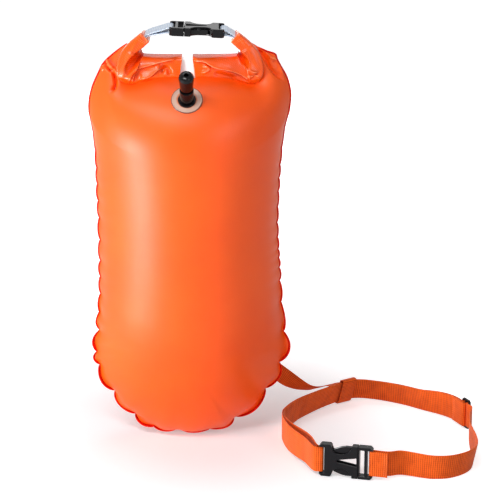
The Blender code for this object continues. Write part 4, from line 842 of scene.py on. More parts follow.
@dataclass(frozen=True)
class Webbing:
    """Flat woven polyester webbing: matt, with fine ribs across its length."""

    name: str
    colour: str
    shade: str
    rib: float = 0.0030              # metres; the real 1 mm ribs are drawn coarser so that they show
    roughness: float = 0.72
    depth: float = 0.0009            # metres
    yarns: float = 0.9               # yarns along for each rib across
    yarn_share: float = 0.25
    weave_tone: float = 0.75         # how far the weave shifts the tone beside the noise
    clouds: float = 60.0             # noise, to a metre
    tones: tuple = (0.35, 1.35)      # their sum at the shade and at the full colour
    bump: float = 0.5
    gloss: float = 0.2
    fuzz: float = 0.12

    def build(self) -> bpy.types.Material:
        """Ribs across the length, broken into yarns across the width."""
        material, tree = blank_material(self.name)
        cloth = cloth_map(tree)
        ribs = bands(tree, cloth, "Y", self.rib, waver=1.2, detail=2.0, detail_scale=0.6)
        yarns = bands(tree, cloth, "X", self.rib / self.yarns, waver=0.6, detail=1.0)
        weave = times_plus(tree, yarns, self.yarn_share, ribs)
        tone = times_plus(tree, weave, self.weave_tone, noise(tree, cloth, self.clouds, detail=3.0))
        colour = blend(tree, ramp(tree, tone, *self.tones), linear(self.shade), linear(self.colour))
        return principled(material, {"Base Color": colour, "Roughness": self.roughness,
                                     "Normal": bumped(tree, weave, self.bump, self.depth),
                                     "Specular IOR Level": self.gloss, "Sheen Weight": self.fuzz,
                                     "Sheen Roughness": 0.4})


@dataclass(frozen=True)
class MouldedPlastic:
    """Moulded plastic: an even colour with the faint grain that a steel mould leaves."""

    name: str
    colour: str
    roughness: float
    grain: float = 0.0006            # metres
    depth: float = 0.00004           # metres
    gloss: float = 0.5
    clouds: float = 60.0             # wear, in spots to a metre
    wear: float = 1.25               # how much paler the worn spots are
    rougher: tuple = (0.85, 1.15)    # roughness at the least and the most wear, to the plain value
    bump: float = 0.3

    def build(self) -> bpy.types.Material:
        """Fine noise for roughness and bump over an even colour that wears paler in spots."""
        material, tree = blank_material(self.name)
        spot = object_place(tree)
        grain = noise(tree, spot, 1 / self.grain, detail=2.0)
        cloud = noise(tree, spot, self.clouds, detail=4.0)
        base = linear(self.colour)
        worn = tuple(min(1.0, value * self.wear + 0.001) for value in base[:3]) + (1.0,)
        low, high = (self.roughness * factor for factor in self.rougher)
        return principled(material, {"Base Color": blend(tree, cloud, base, worn),
                                     "Roughness": ramp(tree, cloud, 0.0, 1.0, low, high),
                                     "Normal": bumped(tree, grain, self.bump, self.depth),
                                     "Specular IOR Level": self.gloss})


@dataclass(frozen=True)
class ClearVinyl:
    """Soft clear vinyl, moulded: milky where it is thick, the bag's orange through it at the weld.

    Its moulded edge looks darker, because light leaves it sideways.
    """

    name: str = "moulded_clear_vinyl"
    milky: str = "#DDB6A2"
    welded: str = "#E07A4C"
    edge: str = "#7A4028"
    roughness: float = 0.22
    weld_end: float = 0.0140         # metres from the middle
    weld_blend: float = 0.003
    edge_start: float = 0.0206
    edge_blend: float = 0.0008
    clouds: float = 260.0            # waves of the moulding, to a metre
    unevenness: float = 0.002        # metres by which they shift the weld's end
    bump: float = 0.5
    depth: float = 0.0004            # metres
    clear: float = 0.15              # share of light that passes through

    def build(self) -> bpy.types.Material:
        """Colour by the distance from the middle, broken by the small waves of the moulding."""
        material, tree = blank_material(self.name)
        far = add_node(tree, "ShaderNodeSeparateXYZ", links={0: cloth_map(tree)}).outputs["X"]
        waves = noise(tree, object_place(tree), self.clouds, detail=3.0)
        spread = times_plus(tree, waves, self.unevenness, far)
        weld = ramp(tree, spread, self.weld_end, self.weld_end + self.weld_blend, smooth=True)
        rim = ramp(tree, far, self.edge_start, self.edge_start + self.edge_blend, smooth=True)
        inside = blend(tree, weld, linear(self.welded), linear(self.milky))
        return principled(material, {"Base Color": blend(tree, rim, inside, linear(self.edge)),
                                     "Roughness": self.roughness,
                                     "Normal": bumped(tree, waves, self.bump, self.depth),
                                     "Specular IOR Level": 0.5, "Transmission Weight": self.clear})


@dataclass(frozen=True)
class DrawnSteel:
    """Stainless wire, drawn and tumbled: bright metal with faint lines."""

    name: str = "drawn_stainless_wire"
    colour: str = "#CFCFD2"
    roughness: float = 0.26
    marks: tuple = (900.0, 900.0, 60.0)      # drawing marks to a metre
    rougher: tuple = (0.7, 1.4)              # roughness between and on them, to the plain value

    def build(self) -> bpy.types.Material:
        """Stretched noise breaks up the roughness as drawing marks do."""
        material, tree = blank_material(self.name)
        stretch = add_node(tree, "ShaderNodeMapping",
                           links={"Vector": object_place(tree), "Scale": self.marks})
        marks = noise(tree, stretch.outputs[0], 1.0, detail=2.0)
        low, high = (self.roughness * factor for factor in self.rougher)
        return principled(material, {"Base Color": linear(self.colour), "Metallic": 1.0,
                                     "Roughness": ramp(tree, marks, 0.0, 1.0, low, high)})


class Finish(Enum):
    """The buoy's finishes, one for each real material."""

    # the panel keeps the default painted crease shade and painted ridge highlight
    PANEL = CoatedFabric("pu_coated_nylon_panel", "#FF6008", "#F65004", 0.41, 0.40)
    # the roll's own painted crease shade and painted ridge highlight
    ROLL = CoatedFabric("pu_coated_nylon_roll", "#FF6008", "#EE4A04", 0.26, 0.36, painted_crease_shade="#B42604",
                        painted_ridge_highlight="#FFA474")
    # the weld's own painted crease shade and painted ridge highlight
    WELD = CoatedFabric("high_frequency_welded_edge", "#E01C0A", "#C81406", 0.30, 0.16, thread=0.0016,
                        depth=0.00006, painted_crease_shade="#A80E04", painted_ridge_highlight="#EE3018")
    WEBBING = Webbing("woven_polyester_webbing", "#FA6A1C", "#BC4009")
    THREAD = MouldedPlastic("bonded_polyester_thread", "#FF7A3A", 0.5, grain=0.0004)
    TAB = Webbing("clear_coated_webbing", "#DCE6F2", "#B4C8E2", 0.0026, 0.34, 0.00015)
    BLACK = MouldedPlastic("moulded_acetal", "#101013", 0.32, gloss=0.16)
    SATIN_BLACK = MouldedPlastic("moulded_nylon", "#08080A", 0.2, gloss=0.20)
    GLOSSY_BLACK = MouldedPlastic("polished_abs", "#050507", 0.12, depth=0.00001, gloss=0.18)
    TAPE = MouldedPlastic("white_polyethylene_tape", "#EFEFF1", 0.55)
    FLANGE = ClearVinyl()
    SEAL = MouldedPlastic("moulded_silicone", "#D8D4CC", 0.5)
    STEEL = DrawnSteel()

    def material(self) -> bpy.types.Material:
        """The finish's material, built when it is first used."""
        return bpy.data.materials.get(self.value.name) or self.value.build()


def dress_nodes(finish: Finish, *nodes: str) -> None:
    """Gives CAD pieces one finish."""
    for node in nodes:
        dress(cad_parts[node], finish.material())


def place(mesh: bpy.types.Mesh, finish: Finish, body: str, nodes: Sequence[str] = ()) -> bpy.types.Object:
    """Puts a piece in the scene under its mesh's name, dresses it and ties it to the frame.

    Args:
        mesh: its mesh, in metres in the part's frame.
        finish: its finish.
        body: CAD body that it rides on.
        nodes: CAD nodes that it stands for.

    Returns:
        The new object.
    """
    item = bpy.data.objects.new(mesh.name, mesh)
    bpy.context.scene.collection.objects.link(item)
    dress(item, finish.material())
    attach(item, body)
    if nodes:
        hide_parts(*nodes)
    log.info("%s: %d faces on %s", item.name, len(mesh.polygons), body)
    return item


# Webbing sizes


@dataclass(frozen=True)
class WideWebbing:
    """Sizes of the 38 mm webbing and the side-release buckle that fits it, in metres."""

    width: float = 0.038
    thickness: float = 0.0016
    layer_gap: float = 0.0006
    buckle_length: float = 0.077
    bar_length: float = 0.0034
    fold_radius: float = 0.00343

    def bar_reach(self) -> float:
        """Distance from the buckle's middle to the middle of each of its bars."""
        return (self.buckle_length - self.bar_length) / 2


# The bag


@dataclass(frozen=True)
class BagForm:
    """Sizes and shape of the inflated bag and of the roll on it, as the CAD solids have them."""

    half_width: float = 0.1395
    half_depth: float = 0.084
    arc_height: float = 0.142
    full_height: float = 0.200
    shoulder_height: float = 0.440
    shoulder_end: float = 0.492
    shoulder_pull: float = 0.520
    corner_pull: float = 0.568
    shoulder_width: float = 0.985
    pillow_power: float = 0.75
    waist_heights: tuple = (0.0, 0.16, 0.33, 0.50, 0.67, 0.84, 1.0)
    waist_widths: tuple = (1.0, 0.955, 0.93, 0.915, 0.925, 0.95, 1.01)
    top_shift: float = 0.004
    sink: float = 0.010
    sink_blend: float = 0.008
    mouth_tuck: float = 0.0160
    mouth_lap: float = 0.0028     # how far the cloth runs up inside the roll
    seam_depth: float = 0.0018
    rim_outer: float = 0.0042
    rim_inner: float = 0.0035
    rim_top: float = 0.78         # place up the closing top where the bag's corner is
    seam_top: float = 0.97
    seam_step: float = 0.0008
    roll_base: float = 0.541
    roll_height: float = 0.0355
    roll_half_depth: float = 0.0185
    ear_half_depth: float = 0.0225
    ear_reach: float = 0.104
    ear_rise: float = 0.070
    outer_x: tuple = (0.0, 0.22, 0.44, 0.64, 0.82, 0.95, 1.0, 0.955, 0.84, 0.673)
    outer_z: tuple = (0.04, 0.06, 0.05, -0.005, -0.060, 0.04, 0.26, 0.55, 0.79, 1.0)
    inner_x: tuple = (0.0, 0.21, 0.41, 0.56, 0.63, 0.655, 0.665, 0.66, 0.63, 0.553)
    inner_z: tuple = (0.0, 0.0, 0.0, 0.01, 0.03, 0.07, 0.13, 0.23, 0.40, 0.623)

    def outer_knots(self) -> Points:
        """Outer points of the roll's right half, seen from the front, as x and z."""
        return np.column_stack([np.array(self.outer_x) * self.ear_reach,
                                self.roll_base + np.array(self.outer_z) * self.ear_rise])

    def inner_knots(self) -> Points:
        """Inner points of the roll's right half, matched one by one to the outer ones."""
        crown = self.roll_base + self.roll_height
        return np.column_stack([np.array(self.inner_x) * self.ear_reach,
                                crown + np.array(self.inner_z) * (self.ear_rise - self.roll_height)])

    def waist(self, height: Points) -> Points:
        """Half width of the weld line at a height between the bottom arc and the shoulders."""
        share = (height - self.arc_height) / (self.shoulder_end - self.arc_height)
        line = through(np.column_stack([self.waist_heights, self.waist_widths]), FORM_STEPS)
        return self.half_width * np.interp(share, line[:, 0], line[:, 1])

    def mouth_edge(self, u: Points) -> tuple[Points, Points, Points]:
        """Edge of the bag under the roll: x, half depth and z for u from -1 to 1."""
        run = through(self.outer_knots(), FORM_STEPS)[:-FORM_STEPS]
        share = np.abs(u)
        spot = at_share(run, share)
        near = 0.02
        way = unit(at_share(run, np.minimum(1.0, share + near))
                   - at_share(run, np.maximum(0.0, share - near)))
        x = spot[..., 0] - way[..., 1] * self.mouth_lap
        z = spot[..., 1] + way[..., 0] * self.mouth_lap
        depth = self.seam_depth + (self.mouth_tuck - self.seam_depth) * (1.0 - share ** 4)
        return np.copysign(x, u), depth, z

    def sunk(self, height: Points) -> Points:
        """Height above the lowest weld point once the ground has flattened the round bottom."""
        def pressed(value: Points) -> Points:
            """Height less the sinking, never below the ground."""
            value = value - self.sink * np.maximum(0.0, 1.0 - value / self.arc_height)
            return (value + np.hypot(value, self.sink_blend)) / 2
        return pressed(height) - pressed(np.zeros(()))

    def surface(self, u: Points, v: Points) -> Points:
        """Front panel's outer face. u runs from rim to rim, v from the bottom to the roll.

        Across, the place is the sine of u and the bulge a power of its cosine. v from 0 to 1 is the
        round bottom, whose rows bow into the arc; from 1 to 2 the middle; from 2 to 3 the closing top,
        a quadratic Bezier curve from the shoulder to the edge under the roll.

        Args:
            u: places across, from -1 to 1.
            v: places up, from 0 to 3, in the same shape.

        Returns:
            Points, with x, y and z in the last axis.
        """
        u, v = np.broadcast_arrays(np.asarray(u, float), np.asarray(v, float))
        across = np.sin(u * math.pi / 2)
        bow = 1.0 - np.cos(u * math.pi / 2)
        pillow = np.maximum(0.0, np.cos(u * math.pi / 2)) ** (2 * self.pillow_power)
        v0 = np.clip(v, 0.0, 1.0)
        end0 = self.arc_height + v0 * (self.full_height - self.arc_height)
        mid0 = v0 * self.full_height
        rise = np.maximum(0.0, 1.0 - (1.0 - v0) ** 2) ** self.pillow_power
        v1 = np.clip(v, 1.0, 2.0) - 1.0
        end1 = self.full_height + v1 * (self.shoulder_end - self.full_height)
        mid1 = self.full_height + v1 * (self.shoulder_height - self.full_height)
        end, mid = np.where(v <= 1.0, end0, end1), np.where(v <= 1.0, mid0, mid1)
        body = np.stack([self.waist(end) * across, -self.seam_depth - self.half_depth * pillow * rise,
                         self.sunk(mid + (end - mid) * bow) + self.rim_outer], axis=-1)
        t = np.clip(v - 2.0, 0.0, 1.0)[..., None]
        pull = np.stack([body[..., 0] * self.shoulder_width, body[..., 1],
                         self.shoulder_pull + (self.corner_pull - self.shoulder_pull) * bow ** 2], axis=-1)
        x, depth, z = self.mouth_edge(u)
        edge = np.stack([x, -depth, z], axis=-1)
        top = (1 - t) ** 2 * body + 2 * t * (1 - t) * pull + t ** 2 * edge
        top = top + self.top_shift * ease(2 * t) * np.array([1.0, 0.0, 0.0])
        return np.where(v[..., None] > 2.0, top, body)

    def slopes(self, u: Points, v: Points) -> tuple[Points, Points]:
        """Front panel's vectors across and up by unit of u and v: central differences."""
        small = 0.002
        across = (self.surface(u + small, v) - self.surface(u - small, v)) / (2 * small)
        upward = (self.surface(u, v + small) - self.surface(u, v - small)) / (2 * small)
        return across, upward

    def seam(self) -> tuple[Points, Points]:
        """Weld line from the right ear, round the bottom, to the left ear.

        Returns:
            Its points as x and z, and their shares of the stretch between the two corners, which are
            below zero and above one on the ears.
        """
        side = np.linspace(2.0 + self.seam_top, 0.0, 500)
        over = np.linspace(1.0, -1.0, 700)
        right, left = (self.surface(np.full(side.shape, u), side)[:, [0, 2]] for u in (1.0, -1.0))
        base = self.surface(over, np.zeros(over.shape))[:, [0, 2]]
        line = spread_evenly(np.vstack([right, base[1:-1], left[::-1]]), self.seam_step)
        along = lengths_along(line)
        lead = np.interp(2.0 + self.rim_top, side[::-1], lengths_along(right)[::-1])
        return line, (along - lead) / (along[-1] - 2 * lead)


@dataclass(frozen=True)
class Gathers:
    """Puckers along the weld, as shares of its length from the top right round the bottom.

    The rim's edge stands outside the weld line by the crest, less the notch's depth times one less
    a power of the sine of pi times the phase. The phase grows by one from notch to notch.
    """

    notches: tuple = (
        (0.030, 0.0), (0.060, 0.0), (0.088, 0.0005), (0.110, 0.0010), (0.1290, 0.0016), (0.1439, 0.0019),
        (0.1587, 0.0018), (0.1760, 0.0016), (0.1938, 0.0022), (0.2105, 0.0018), (0.2240, 0.0022),
        (0.2340, 0.0022), (0.2449, 0.0024), (0.2598, 0.0034), (0.2840, 0.0034), (0.3180, 0.0070),
        (0.3543, 0.0110), (0.3900, 0.0110), (0.4429, 0.0130), (0.4768, 0.0050), (0.5125, 0.0090),
        (0.5404, 0.0055), (0.5678, 0.0090), (0.6053, 0.0110), (0.6415, 0.0075), (0.6570, 0.0070),
        (0.6826, 0.0095), (0.7033, 0.0034), (0.7241, 0.0036), (0.7438, 0.0028), (0.7616, 0.0036),
        (0.7854, 0.0034), (0.8103, 0.0030),
        (0.8294, 0.0026), (0.8484, 0.0022), (0.8662, 0.0018), (0.885, 0.0012), (0.905, 0.0007),
        (0.935, 0.0), (0.970, 0.0),
    )
    crests: tuple = (
        (-0.016, -0.0016), (-0.005, 0.0016), (0.0, 0.0034), (0.0088, 0.0088), (0.0135, 0.0062),
        (0.0225, 0.0050), (0.036, 0.0068), (0.052, 0.0078), (0.062, 0.0062), (0.08, 0.0026),
        (0.12, 0.0032), (0.18, 0.0030), (0.21, 0.0036), (0.25, 0.0052), (0.30, 0.0066), (0.336, 0.0100),
        (0.36, 0.0058), (0.39, 0.0014), (0.43, -0.0016),
        (0.46, -0.0004), (0.48, 0.0020), (0.53, 0.0024), (0.565, 0.0004), (0.60, 0.0012), (0.62, 0.0032),
        (0.65, 0.0049), (0.67, 0.0042), (0.70, 0.0020), (0.73, 0.0018), (0.77, 0.0040), (0.80, 0.0049),
        (0.84, 0.0046), (0.87, 0.0032), (0.90, 0.0012), (0.92, 0.0006), (0.945, 0.0024),
        (0.972, 0.0024), (0.982, 0.0031), (1.0, 0.0010), (1.016, 0.0010),
    )
    sharpness: float = 0.6       # power of the sine for a notch

    def phase(self, share: Points) -> Points:
        """Number of notches passed at a share of the weld's length."""
        return np.interp(share, np.array(self.notches)[:, 0], np.arange(len(self.notches)))

    def depth(self, share: Points) -> Points:
        """Depth of the notches about a share of the weld's length."""
        table = np.array(self.notches)
        return np.interp(share, table[:, 0], table[:, 1])

    def pucker(self, share: Points, power: Points) -> Points:
        """One at each notch and zero between two: one less a power of the sine's size."""
        return 1.0 - np.maximum(TINY, np.abs(np.sin(math.pi * self.phase(share)))) ** power

    def crest(self, share: Points) -> Points:
        """Place of the rim's edge outside the weld line, between notches."""
        line = through(self.crests, 10)
        return np.interp(share, line[:, 0], line[:, 1])

    def notch(self, share: Points) -> Points:
        """How far the notches cut in from the crest."""
        return self.depth(share) * self.pucker(share, self.sharpness)

    def edge(self, share: Points) -> Points:
        """Place of the rim's edge outside the weld line."""
        return self.crest(share) - self.notch(share)


@dataclass
class BagShell:
    """Front and back panel of the inflated bag and the rim where they are welded together."""

    form: BagForm
    gathers: Gathers = Gathers()
    columns: int = 261
    crowding: float = 1.25           # power that crowds the columns towards the rim
    rows: tuple = (110, 90, 90)
    rim_width: float = 0.0024
    rim_thickness: float = 0.0015
    rim_across: int = 9
    crest_reach: float = 0.030       # distance from the weld over which the crest's pull fades
    notch_reach: float = 0.006       # and that of the notches
    roll_room: float = 0.35          # span of v under the roll over which that pull comes in
    weld_room: float = 0.004         # distance from the weld over which creases and folds begin
    crease_depth: float = 0.0011
    crease_full: float = 0.0012      # notch depth from which a crease has that depth
    crease_growth: float = 0.30      # and how it grows with the notch's depth
    crease_level: float = 0.35       # pucker at which the cloth is neither pressed in nor raised
    crease_reach: float = 0.0085
    crease_spread: float = 2.2       # how the reach grows with the notch's depth
    crease_powers: tuple = (0.8, 1.2, 0.010)     # at the weld, its growth, and over what distance
    lobe_flatness: float = 0.40
    lobe_full: float = 0.004         # notch depth from which a lobe is that flat
    lobe_reach: float = 0.016
    lobe_bend: tuple = (0.0004, 0.16)            # to front and back, and its growth with the depth
    lobe_curl: float = 0.0060
    curl_span: tuple = (0.26, 0.12)  # where it ends, as a share from the bottom, and its blend
    front_folds: tuple = (
        Fold(((-0.1065, 0.5570), (-0.1022, 0.5498), (-0.1010, 0.5390), (-0.1078, 0.5299)), 0.0025, -0.0072),
        Fold(((-0.1134, 0.5716), (-0.1081, 0.5624), (-0.1029, 0.5588)), 0.0021, 0.0062),
        Fold(((-0.1224, 0.5550), (-0.1178, 0.5614), (-0.1132, 0.5649)), 0.0021, 0.0042),
        Fold(((-0.1180, 0.5700), (-0.1125, 0.5590), (-0.1065, 0.5560)), 0.0020, -0.0046),
        Fold(((0.0969, 0.5936), (0.1093, 0.5757), (0.1164, 0.5631), (0.1271, 0.5505), (0.1369, 0.5405)),
             0.0026, -0.0064),
        Fold(((0.1022, 0.5918), (0.1164, 0.5739), (0.1243, 0.5703), (0.1306, 0.5559), (0.1378, 0.5432)),
             0.0022, 0.0038),
    )

    def build(self) -> None:
        """Makes both panels and the rim."""
        seam, shares = self.form.seam()
        front = self.panel(seam, shares, self.front_folds)
        back = (self.panel(seam, shares, ()) * (1.0, -1.0, 1.0))[:, ::-1]
        for node, grid in (("front_panel", front), ("back_panel", back)):
            mesh = grid_mesh(f"{node}_cloth", grid, cloth_lengths(grid, self.columns // 2))
            place(mesh, Finish.PANEL, "buoy", [node])
        self.add_rim(seam, shares)

    def panel(self, seam: Points, shares: Points, folds: Sequence[Fold | Overlap]) -> Points:
        """Grid of the front panel with its edge drawn in at the gathers and creases running in from them.

        A point is moved in the panel's plane by what the rim's edge is moved at its nearest weld
        place, less and less with the distance from the weld, and inwards along its normal by the
        creases, which widen and fade over that distance.

        Args:
            seam: the weld line.
            shares: shares of its length at its points.
            folds: further folds of this panel.

        Returns:
            Points, rows from the bottom up, columns from left to right.
        """
        half = np.linspace(0.0, 1.0, self.columns // 2 + 1)
        half = 1.0 - (1.0 - half) ** self.crowding
        u = np.concatenate([-half[:0:-1], half])
        low = 1.0 - np.cos(np.linspace(0.0, math.pi / 2, self.rows[0]))
        v = np.concatenate([low, np.linspace(1.0, 2.0, self.rows[1])[1:],
                            np.linspace(2.0, 3.0, self.rows[2])[1:]])
        grid = self.form.surface(u[None, :], v[:, None])
        steps_over = np.linalg.norm(np.diff(grid, axis=1), axis=2)
        steps_up = np.linalg.norm(np.diff(grid, axis=0), axis=2)
        left = np.pad(np.cumsum(steps_over, axis=1), ((0, 0), (1, 0)))
        right = left[:, -1:] - left
        base = np.pad(np.cumsum(steps_up, axis=0), ((1, 0), (0, 0)))
        inside = np.minimum(np.minimum(left, right), base)
        share, outward = self.nearest(grid[..., [0, 2]], seam, shares)
        below_roll = ease((3.0 - v) / self.roll_room)[:, None]
        crest = self.gathers.crest(share) - self.rim_width
        depth = self.gathers.depth(share)
        pull = crest * np.exp(-inside / self.crest_reach) * below_roll
        pull = pull - self.gathers.notch(share) * np.exp(-inside / self.notch_reach)
        grid[..., [0, 2]] += outward * pull[..., None]
        flatter = self.lobe_flatness * ease(depth / self.lobe_full) * hill(inside, self.lobe_reach)
        grid[..., 1] *= 1.0 - flatter
        normals = grid_normals(grid)
        at_weld, growth, widening = self.crease_powers
        power = at_weld + growth * (1.0 - np.exp(-inside / widening))
        reach = self.crease_reach + self.crease_spread * depth
        valley = self.gathers.pucker(share, power) - self.crease_level
        start = ease(inside / self.weld_room)
        amount = self.crease_depth * ease(depth / self.crease_full) + self.crease_growth * depth
        amount = amount * valley * start * np.exp(-inside / reach)
        grid = grid - normals * amount[..., None]
        lift = sum((fold.lift(grid[..., [0, 2]]) for fold in folds), np.zeros(start.shape))
        return grid + grid_normals(grid) * (lift * start)[..., None]

    def nearest(self, spots: Points, seam: Points, shares: Points) -> tuple[Points, Points]:
        """Share of the weld's length nearest to spots in front view, and the way out of the bag there.

        Args:
            spots: rows by columns by two.
            seam: the weld line.
            shares: shares of its length at its points.

        Returns:
            Shares, and unit vectors out of the bag in x and z.
        """
        skip, parts = 3, 40
        flat = spots.reshape(-1, 2)
        picks = [np.argmin(((part[:, None] - seam[None, ::skip]) ** 2).sum(axis=2), axis=1)
                 for part in np.array_split(flat, parts)]
        index = np.concatenate(picks) * skip
        way, out = ways_and_left(seam)
        along = lengths_along(seam)
        ahead = ((flat - seam[index]) * way[index]).sum(axis=1)
        share = np.interp(along[index] + ahead, along, shares).reshape(spots.shape[:-1])
        return share, out[index].reshape(spots.shape)

    def add_rim(self, seam: Points, share: Points) -> None:
        """Rounded band along the weld, scalloped by the gathers.

        Its lobes bend to front and back by turns, by the sine of pi times the gathers' phase, and at
        the bottom the whole band curls to the front.

        Args:
            seam: the weld line.
            share: shares of its length at its points.
        """
        _, out = ways_and_left(seam)
        edge = self.gathers.edge(share)
        inner = edge - self.rim_width - self.form.rim_inner
        over, lift, around = band_section((edge - inner)[:, None], self.rim_thickness, self.rim_across)
        reach = (edge + inner)[:, None] / 2 + over
        spot = seam[:, None] + out[:, None] * reach[..., None]
        outside = np.clip((reach - inner[:, None]) / (edge - inner)[:, None], 0.0, 1.0)
        least, growth = self.lobe_bend
        bend = np.sin(math.pi * self.gathers.phase(share)) * (least + growth * self.gathers.depth(share))
        limit, blend_span = self.curl_span
        below = ease((limit - np.abs(share - 0.5)) / blend_span)
        y = lift + (bend - self.lobe_curl * below)[:, None] * outside ** 2
        grid = np.stack([spot[..., 0], y, np.maximum(spot[..., 1], 0.0)], axis=-1)
        flat = np.stack([around, np.broadcast_to(lengths_along(seam)[:, None], around.shape)], axis=-1)
        mesh = grid_mesh("weld_rim_band", grid, flat, wrap=True, caps=True)
        place(mesh, Finish.WELD, "buoy", ["weld_rim"])


@dataclass
class RollTop:
    """The mouth rolled down over a stiffening tape, its two ends drawn up towards the buckle."""

    form: BagForm
    columns: int = 160
    steps: int = 22
    corner_power: float = 0.40
    ear_power: float = 0.22
    ear_start: tuple = (0.45, 0.15)  # share of the line where the ear begins, and its blend
    deepening: float = 1.6           # how fast the depth grows along the line to the ear's
    top_taper: float = 0.26
    slant_places: tuple = (0.46, 0.54, 0.64, 0.70, 0.76, 0.82, 0.90)
    slants: tuple = (0.0, 1.50, 1.35, 1.00, 0.62, 0.28, 0.0)
    slant_sizes: tuple = (1.0, 0.6)
    back_slant: float = 0.60
    slant_ends: tuple = (0.6, 0.7)   # places deep where the front's and the back's slant end
    end_rounding: tuple = ((0.0010, 0.985), (0.0017, 0.94), (0.0019, 0.86))
    gap_top: float = 0.0075
    gap_base: float = 0.0115
    gap_back: float = -0.0094
    gap_crown: float = 0.5650
    gap_reach: float = 0.034
    hem_rows: tuple = (8, 11)
    hem_facing: float = -0.75        # least turn to the front where it is sewn
    front_folds: tuple = (
        Overlap(((-0.0825, 0.5392), (-0.0762, 0.5536), (-0.0682, 0.5608), (-0.0558, 0.5643),
                 (-0.0400, 0.5688), (-0.0277, 0.5715), (-0.0136, 0.5736)), 0.0062, 0.0024, 0.0130, 0.12),
        Overlap(((-0.0684, 0.5446), (-0.0525, 0.5491), (-0.0401, 0.5590), (-0.0331, 0.5599)),
                0.0050, 0.0022, 0.0080),
        Fold(((-0.0384, 0.5536), (-0.0295, 0.5608), (-0.0226, 0.5500)), 0.0036, -0.0046),
        Overlap(((0.0074, 0.5706), (0.0232, 0.5697), (0.0389, 0.5616), (0.0618, 0.5572), (0.0793, 0.5500),
                 (0.0864, 0.5428)), 0.0070, 0.0024, 0.0150, 0.08),
        Fold(((0.0214, 0.5661), (0.0302, 0.5599), (0.0196, 0.5536)), 0.0026, 0.0028),
        Fold(((0.0354, 0.5536), (0.0530, 0.5500), (0.0706, 0.5446)), 0.0044, -0.0044),
        Fold(((0.0828, 0.5635), (0.0916, 0.5581), (0.1003, 0.5563)), 0.0018, 0.0018),
        Fold(((0.0840, 0.5580), (0.0920, 0.5545), (0.1010, 0.5535)), 0.0018, -0.0016),
        Fold(((0.0881, 0.5509), (0.0951, 0.5527), (0.1021, 0.5509)), 0.0018, 0.0016),
        Overlap(((-0.0769, 0.5409), (-0.0735, 0.5520), (-0.0672, 0.5680), (-0.0629, 0.5822)),
                0.0042, 0.0020, 0.0180, 0.10),
        Overlap(((0.0700, 0.5850), (0.0740, 0.5778), (0.0828, 0.5593), (0.0881, 0.5409)),
                0.0036, 0.0020, 0.0160, 0.10),
        Fold(((-0.0930, 0.5460), (-0.0860, 0.5680), (-0.0760, 0.5900), (-0.0640, 0.6080)), 0.0030, 0.0012),
        Fold(((0.1000, 0.5600), (0.0930, 0.5800), (0.0830, 0.5960), (0.0700, 0.6100)), 0.0030, 0.0010),
        Fold(((-0.0645, 0.6130), (-0.0570, 0.5983)), 0.0010, -0.0008, 0.1),
        Fold(((0.0733, 0.6127), (0.0648, 0.6005)), 0.0010, -0.0008, 0.1),
    )
    back_folds: tuple = (
        Fold(((-0.0800, 0.5420), (-0.0500, 0.5560), (0.0, 0.5610), (0.0500, 0.5550), (0.0820, 0.5400)),
             0.0034, 0.0014, 0.15),
        Fold(((-0.0600, 0.5660), (-0.0200, 0.5690), (0.0300, 0.5670)), 0.0030, -0.0012),
    )

    def build(self) -> None:
        """Makes the roll and dresses the tape that shows in its gap."""
        grid = self.roll_grid()
        grid = folded(grid, self.front_folds, -1.0)
        grid = folded(grid, self.back_folds, 1.0)
        closed = np.concatenate([grid, grid[:, :1]], axis=1)
        mesh = grid_mesh("rolled_mouth_cloth", grid, cloth_lengths(closed), wrap=True, caps=True)
        place(mesh, Finish.ROLL, "buoy", ["rolled_mouth"])
        rows = [self.hem(grid, row) for near in self.hem_rows for row in (near, len(grid) - 1 - near)]
        place(Thread().mesh("rolled_mouth_stitches", rows), Finish.THREAD, "buoy")
        dress_nodes(Finish.TAPE, "mouth_stiffener")

    def hem(self, grid: Points, row: int) -> tuple[Points, Points, Points]:
        """Stitches over the front face of an ear along one section of the grid."""
        normals = grid_normals(grid, wrap=True)[row]
        front = np.flatnonzero(normals[:, 1] < self.hem_facing)
        order = front[np.argsort(grid[row, front, 0])]
        line = through(grid[row, order], 2)
        return Thread().row(line, through(normals[order], 2))

    def section(self, power: float) -> Points:
        """Superellipse of half size one, its points evenly spaced round it, as along and deep."""
        angle = np.linspace(0.0, 2 * math.pi, 4001)
        circle = np.column_stack([np.cos(angle), np.sin(angle)])
        outline = np.sign(circle) * np.abs(circle) ** power
        return at_share(outline, (np.arange(self.columns) + 0.5) / self.columns)

